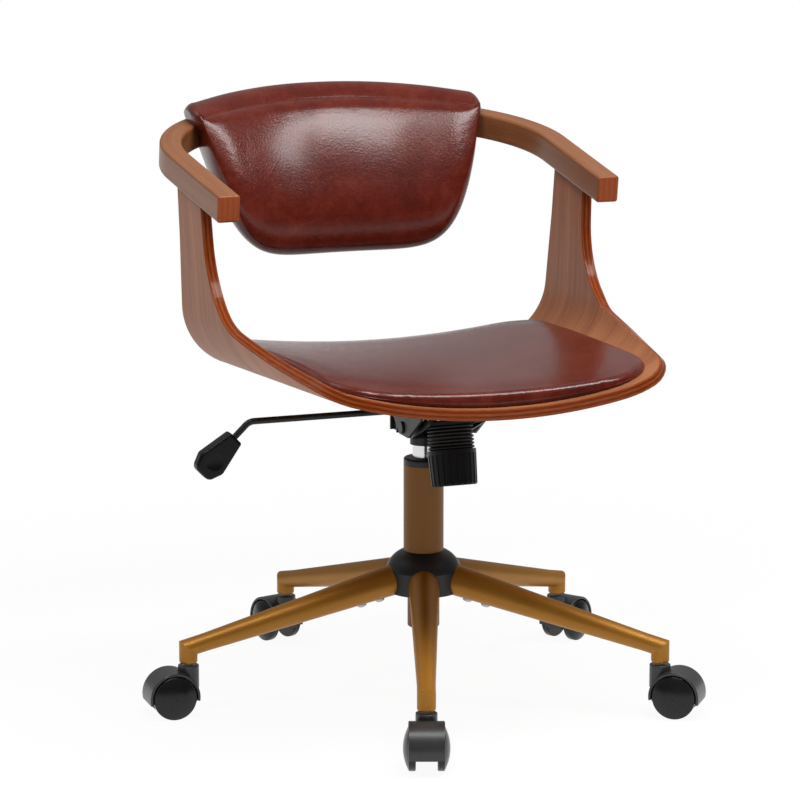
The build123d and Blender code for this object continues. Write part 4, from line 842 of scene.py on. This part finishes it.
def railChannel():  # cutter for the slot that the rail lies in
    near = armRail["width"] / 2 + backPad["gap"]
    tall = armRail["height"] / 2 + backPad["gap"]
    path = [Vector((x, y, 0)) for x, y in railPath()]
    points, faces = [], []
    for i, place in enumerate(path):
        step = (path[min(i + 1, len(path) - 1)] - path[max(i - 1, 0)]).normalized()
        out = Vector((-step.y, step.x, 0))
        for reach, height in ((-near, -tall), (-near, tall), (90, tall), (90, -tall)):
            points.append(railFrame @ (place + out * reach + Vector((0, 0, height))))
    for i in range(len(path) - 1):
        for k in range(4):
            n = (k + 1) % 4
            faces.append([i * 4 + k, i * 4 + n, (i + 1) * 4 + n, (i + 1) * 4 + k])
    faces += [[3, 2, 1, 0], [len(points) - 4 + k for k in range(4)]]
    cutter = meshPiece("railChannel", points, faces)
    turnOutward(cutter.data)
    return cutter


def buildBackPad():
    sections = backSections()
    count = len(sections[0])
    points = [point for section in sections for point in section]
    faces = []
    for i in range(len(sections) - 1):
        for k in range(count):
            n = (k + 1) % count
            faces.append([i * count + k, i * count + n, (i + 1) * count + n, (i + 1) * count + k])
    for first in (0, len(points) - count):  # close the ends with a fan
        points.append(sum(points[first:first + count], Vector()) / count)
        faces += [[first + k, first + (k + 1) % count, len(points) - 1] for k in range(count)]
    pad = meshPiece("backPad", points, faces)
    turnOutward(pad.data)
    seamLine = [section[0] * mm for section in sections[5:-5]]
    tree = KDTree(len(seamLine))
    for k, point in enumerate(seamLine):
        tree.insert(point, k)
    tree.balance()
    inflate(pad, backPad, lambda point: 1.0 if tree.find(point)[2] < 0.006 else 0.0)
    for vertex in pad.data.vertices:  # press the seam in
        near = tree.find(vertex.co)[2] / mm / backPad["grooveWidth"]
        if near < 3:
            vertex.co -= vertex.normal * (backPad["groove"] * mm * math.exp(-near * near))
    pad.data.update()
    surface = BVHTree.FromObject(pad, bpy.context.evaluated_depsgraph_get())
    cutter = railChannel()
    carve = pad.modifiers.new("railSlot", "BOOLEAN")
    carve.operation = "DIFFERENCE"
    carve.solver = "EXACT"
    carve.object = cutter
    slotted = bpy.data.meshes.new_from_object(finished(pad))
    pad.modifiers.clear()
    pad.data = slotted
    bpy.data.objects.remove(cutter)
    slotted.polygons.foreach_set("use_smooth", [True] * len(slotted.polygons))
    slotted.set_sharp_from_angle(angle=math.radians(50))
    dress(pad, cover)
    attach(pad, "seat")
    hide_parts("back_pad")
    print("back pad:", len(slotted.polygons), "faces")
    return surface, seamLine


cushionSurface, seamLine = buildBackPad()

stitches = dict(pitch=3.6, length=3.0, thick=0.42, lift=0.06, offset=1.6)


def threadFinish():
    thread = Finish("seamThread", Roughness=0.6)
    twist = thread.noise(thread.place(), 900.0, 2.0)
    thread.feed(Base_Color=thread.ramp(twist, [(0.3, (0.15, 0.05, 0.032)), (0.7, (0.26, 0.105, 0.07))]))
    return thread


def buildStitches():
    thread = threadFinish()
    path = []
    for point in seamLine:
        above = point + Vector((0, -0.3, 1)) * stitches["offset"] * mm
        place, normal, _, _ = cushionSurface.find_nearest(above)
        path.append(place + normal * stitches["lift"] * mm)
    tree = Tree("seamStitches", {"Pitch": stitches["pitch"] * mm, "Length": stitches["length"] * mm,
                                 "Thick": stitches["thick"] * mm})
    size = tree.start.outputs
    spread = tree.node("GeometryNodeResampleCurve", {"mode": "LENGTH"},
                       {"Curve": size["Geometry"], "Length": size["Pitch"]})
    along = tree.node("GeometryNodeInputTangent")
    turn = tree.node("FunctionNodeAlignRotationToVector", {"axis": "X"}, {"Vector": along.outputs[0]})
    bead = tree.node("GeometryNodeMeshIcoSphere", sockets={"Radius": 0.5, "Subdivisions": 2})
    shape = tree.node("ShaderNodeCombineXYZ",
                      sockets={"X": size["Length"], "Y": size["Thick"], "Z": size["Thick"]})
    loops = tree.node("GeometryNodeInstanceOnPoints",
                      sockets={"Points": spread.outputs[0], "Instance": bead.outputs[0],
                               "Rotation": turn.outputs[0], "Scale": shape.outputs[0]})
    tree.close(loops.outputs[0], thread)
    row = pieceFrom("seamStitches", tree, lineCurve("seamRow", path))
    dress(row, thread)
    row.data.polygons.foreach_set("use_smooth", [True] * len(row.data.polygons))
    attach(row, "seat")
    print("stitches:", len(row.data.polygons), "faces")


buildStitches()

bellows = dict(length=30.0, ribs=7, outer=57.0, core=51.0, y=-89.5, z=364.0, lean=13.5, tongue=4.0, wall=1.5)


def plasticFinish(name, colour, rough, grain=2600.0, depth=0.00004, shine=0.35):
    plastic = Finish(name, Specular_IOR_Level=shine)
    at = plastic.place()
    speck = plastic.noise(at, grain, 2.0)
    cloud = plastic.noise(at, 35.0, 4.0, 0.6)
    dull = tuple(c * 1.7 + 0.004 for c in colour)
    plastic.feed(Base_Color=plastic.mix(cloud * 0.6, (*colour, 1), (*dull, 1)),
                 Roughness=rough + cloud * 0.14)
    plastic.bump(speck, depth, 0.5)
    return plastic


blackPlastic = plasticFinish("blackPlastic", (0.015, 0.015, 0.0152), 0.3)
# the hoods' plastic is the black plastic made lighter: a painted sheen for their tops facing the lamps
hoodPlasticPaintedSheen = plasticFinish("hoodPlasticPaintedSheen", (0.026, 0.026, 0.0262), 0.24, shine=0.5)
knobPlastic = plasticFinish("knobPlastic", (0.0022, 0.0022, 0.0022), 0.3, shine=0.2)
wheelPlastic = plasticFinish("wheelPlastic", (0.006, 0.006, 0.0062), 0.2, 1800.0, 0.00003)
rubber = plasticFinish("bellowsRubber", (0.005, 0.005, 0.005), 0.45, 3200.0, 0.00005)
darkSteel = plasticFinish("darkSteelPaint", (0.006, 0.006, 0.0064), 0.34, 1400.0, 0.00006)


def metalFinish(name, colour, rough, metallic=1.0, flake=900.0):
    metal = Finish(name, Metallic=metallic)
    at = metal.place()
    cloud = metal.noise(at, 14.0, 5.0, 0.6)
    speck = metal.noise(at, flake, 2.0)
    low = tuple(c * 0.8 for c in colour)
    high = tuple(min(1, c * 1.22) for c in colour)
    shade = cloud * 0.6 + speck * 0.4
    metal.feed(Base_Color=metal.mix(shade, (*low, 1), (*high, 1)),
               Roughness=rough + cloud * 0.1 + speck * 0.06)
    metal.bump(speck, 0.00003, 0.35)
    return metal


bronze = metalFinish("bronzePaint", (0.4, 0.17, 0.0125), 0.36, 0.42)
# the column's paint is the base's bronze made darker: painted shade for the column standing under the seat
columnBronzePaintedShade = metalFinish("columnPaintWithPaintedShade", (0.195, 0.077, 0.0085), 0.38, 0.4)
chrome = metalFinish("polishedSteel", (0.72, 0.72, 0.73), 0.12)
steel = metalFinish("plainSteel", (0.46, 0.46, 0.47), 0.3)
boardWood = plasticFinish("plainBoard", (0.42, 0.27, 0.14), 0.6)


def buildBellows():
    lean = math.radians(bellows["lean"])
    axis = Vector((0, math.sin(lean), math.cos(lean)))
    foot = Vector((0, bellows["y"], bellows["z"])) - axis * (bellows["tongue"] / 2 + bellows["length"])
    tree = Tree("bellowsRibs", {"Ribs": bellows["ribs"], "Pitch": bellows["length"] / bellows["ribs"] * mm,
                                "Radius": bellows["core"] / 2 * mm,
                                "Swell": (bellows["outer"] - bellows["core"]) / 2 * mm})
    size = tree.start.outputs
    ring = tree.node("GeometryNodeCurvePrimitiveCircle", {"mode": "RADIUS"},
                     {"Resolution": 72, "Radius": size["Radius"]})
    lip = tree.node("GeometryNodeCurvePrimitiveCircle", {"mode": "RADIUS"},
                    {"Resolution": 14, "Radius": size["Swell"]})
    flat = tree.node("GeometryNodeTransform", sockets={"Geometry": lip.outputs[0], "Scale": (1.0, 0.62, 1.0)})
    rib = tree.node("GeometryNodeCurveToMesh",
                    sockets={"Curve": ring.outputs[0], "Profile Curve": flat.outputs[0]})
    step = tree.node("ShaderNodeCombineXYZ", sockets={"Z": size["Pitch"]})
    half = tree.node("ShaderNodeVectorMath", {"operation": "SCALE"}, {0: step.outputs[0], "Scale": 0.5})
    line = tree.node("GeometryNodeMeshLine", {"mode": "OFFSET"},
                     {"Count": size["Ribs"], "Start Location": half.outputs[0], "Offset": step.outputs[0]})
    ribs = tree.node("GeometryNodeInstanceOnPoints",
                     sockets={"Points": line.outputs[0], "Instance": rib.outputs[0]})
    both = tree.node("GeometryNodeJoinGeometry")
    tree.tree.links.new(size["Geometry"], both.inputs[0])
    tree.tree.links.new(ribs.outputs[0], both.inputs[0])
    tree.close(both.outputs[0], rubber)
    sleeve = bpy.data.meshes.new("sleeve")
    shape = bmesh.new()
    for radius, inside in ((bellows["core"] / 2 + 0.4, False), (bellows["core"] / 2 - bellows["wall"], True)):
        made = bmesh.ops.create_cone(shape, cap_ends=False, segments=72, radius1=radius * mm,
                                     radius2=radius * mm, depth=bellows["length"] * mm)
        bmesh.ops.translate(shape, verts=made["verts"], vec=(0, 0, bellows["length"] / 2 * mm))
        if inside:
            bmesh.ops.reverse_faces(shape, faces=[f for f in shape.faces if f.verts[0] in made["verts"]])
    rims = [edge for edge in shape.edges if edge.is_boundary]
    for low in (True, False):
        level = [edge for edge in rims if (edge.verts[0].co.z < bellows["length"] / 2 * mm) == low]
        bmesh.ops.bridge_loops(shape, edges=level)
    shape.to_mesh(sleeve)
    shape.free()
    piece = pieceFrom("tensionBellows", tree, sleeve)
    place = Matrix.Translation(foot * mm) @ Matrix.Rotation(-lean, 4, "X")
    piece.data.transform(place)
    dress(piece, rubber)
    piece.data.polygons.foreach_set("use_smooth", [True] * len(piece.data.polygons))
    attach(piece, "spring_seat")
    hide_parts("tension_bellows")
    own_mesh(piece)
    print("bellows:", len(piece.data.polygons), "faces")


buildBellows()

nodeFinish = {"leather": cover, "board": boardWood, "bronze_paint": bronze, "black_plastic": blackPlastic,
              "wheel_plastic": wheelPlastic, "dark_steel": darkSteel, "chrome": chrome, "steel": steel,
              "bush_plastic": blackPlastic, "bellows_rubber": rubber}
nodeSpecials = {"tension_knob": knobPlastic, "lever_grip": knobPlastic, "caster_hood": hoodPlasticPaintedSheen,
                "column_tube": columnBronzePaintedShade}


def dressNodes():
    for row in frame["record"]["subparts"]:
        finish = nodeFinish.get(row["material_slot"])
        for start, special in nodeSpecials.items():
            if row["node"].startswith(start):
                finish = special
        if finish and not nodes[row["node"]].hide_render:
            dress(nodes[row["node"]], finish)
    print("finishes on the solid pieces")


dressNodes()

stage = dict(floor=20.0, glowNear=0.94, front=0.05, back=0.24, above=0.16)
lamps = dict(wide=dict(turn=20.0, rise=57.0, away=2.4, size=(1.2, 0.8), power=38.0),
             left=dict(turn=-36.0, rise=54.0, away=2.4, size=(0.7, 0.8), power=24.0),
             right=dict(turn=52.0, rise=46.0, away=2.4, size=(0.4, 0.9), power=14.0),
             side=dict(turn=-110.0, rise=48.0, away=2.6, size=(1.6, 1.2), power=7.0))


def areaLamp(name, place, aim, size, power):
    lamp = bpy.data.lights.new(name, "AREA")
    lamp.shape = "RECTANGLE"
    lamp.size, lamp.size_y = size
    lamp.energy = power
    item = bpy.data.objects.new(name, lamp)
    item.location = place
    item.rotation_euler = (Vector(aim) - Vector(place)).to_track_quat("-Z", "Y").to_euler()
    show(item)


def buildStage():
    mesh = bpy.data.meshes.new("floor")
    reach = stage["floor"]
    corners = [(-reach, -reach, 0), (reach, -reach, 0), (reach, reach, 0), (-reach, reach, 0)]
    mesh.from_pydata(corners, [], [[0, 1, 2, 3]])
    floor = bpy.data.objects.new("floor", mesh)
    show(floor)
    paper = Finish("paleFloor")
    tree = paper.tree
    tree.nodes.remove(paper.shader)
    matt = paper.node("ShaderNodeBsdfDiffuse", sockets={"Color": (0.95, 0.95, 0.95, 1)})
    glow = paper.node("ShaderNodeEmission", sockets={"Color": (1, 1, 1, 1), "Strength": 1.0})
    path = tree.nodes.new("ShaderNodeLightPath")
    seen = Wire(tree, path.outputs["Is Camera Ray"]) + Wire(tree, path.outputs["Is Glossy Ray"])
    seen = seen + Wire(tree, path.outputs["Is Transmission Ray"])
    away = paper.node("ShaderNodeVectorMath", {"operation": "LENGTH"}, {0: paper.place()}, output="Value")
    fade = paper.node("ShaderNodeMapRange", {"interpolation_type": "SMOOTHSTEP"},
                      {"Value": away, "From Min": 0.5, "From Max": 1.6,
                       "To Min": stage["glowNear"], "To Max": 1.0})
    both = paper.node("ShaderNodeMixShader", sockets={0: seen.maths("MINIMUM", 1.0) * fade, 1: matt, 2: glow})
    tree.links.new(both.socket, tree.nodes["Material Output"].inputs[0])
    mesh.materials.append(paper.material)
    world = bpy.data.worlds.new("studio")
    world.use_nodes = True
    sky = world.node_tree
    way = sky.nodes.new("ShaderNodeTexCoord").outputs["Generated"]
    split = sky.nodes.new("ShaderNodeSeparateXYZ")
    sky.links.new(way, split.inputs[0])
    back, up = (Wire(sky, split.outputs[k]) for k in (1, 2))  # darker in front, brighter behind and above
    level = (back + 0.25).maths("MAXIMUM", 0.0).maths("MINIMUM", 0.8) * (stage["back"] / 0.8) + stage["front"]
    plug(sky, sky.nodes["Background"].inputs["Strength"], level + up.maths("MAXIMUM", 0.0) * stage["above"])
    sky.nodes["Background"].inputs["Color"].default_value = (1, 1, 1, 1)
    bpy.context.scene.world = world
    target = Vector((0, 0.3, 0.6))
    for name, lamp in lamps.items():
        turn, rise = math.radians(lamp["turn"]), math.radians(lamp["rise"])
        way = Vector((math.sin(turn) * math.cos(rise), -math.cos(turn) * math.cos(rise), math.sin(rise)))
        areaLamp(name + "Lamp", target + way * lamp["away"], target, lamp["size"], lamp["power"])
    bpy.context.scene.view_settings.view_transform = "Standard"


buildStage()

photoCamera = dict(place=(-1.5409, -4.1214, 1.2652), pitch=11.4256, turn=-20.117, lens=163.1, sensor=36.0)


def buildCamera():
    camera = bpy.data.cameras.new("photoCamera")
    camera.lens = photoCamera["lens"]
    camera.sensor_width = photoCamera["sensor"]
    camera.sensor_fit = "HORIZONTAL"
    item = bpy.data.objects.new("photoCamera", camera)
    item.location = photoCamera["place"]
    item.rotation_euler = (math.radians(90 - photoCamera["pitch"]), 0, math.radians(photoCamera["turn"]))
    show(item)
    bpy.context.scene.camera = item


buildCamera()
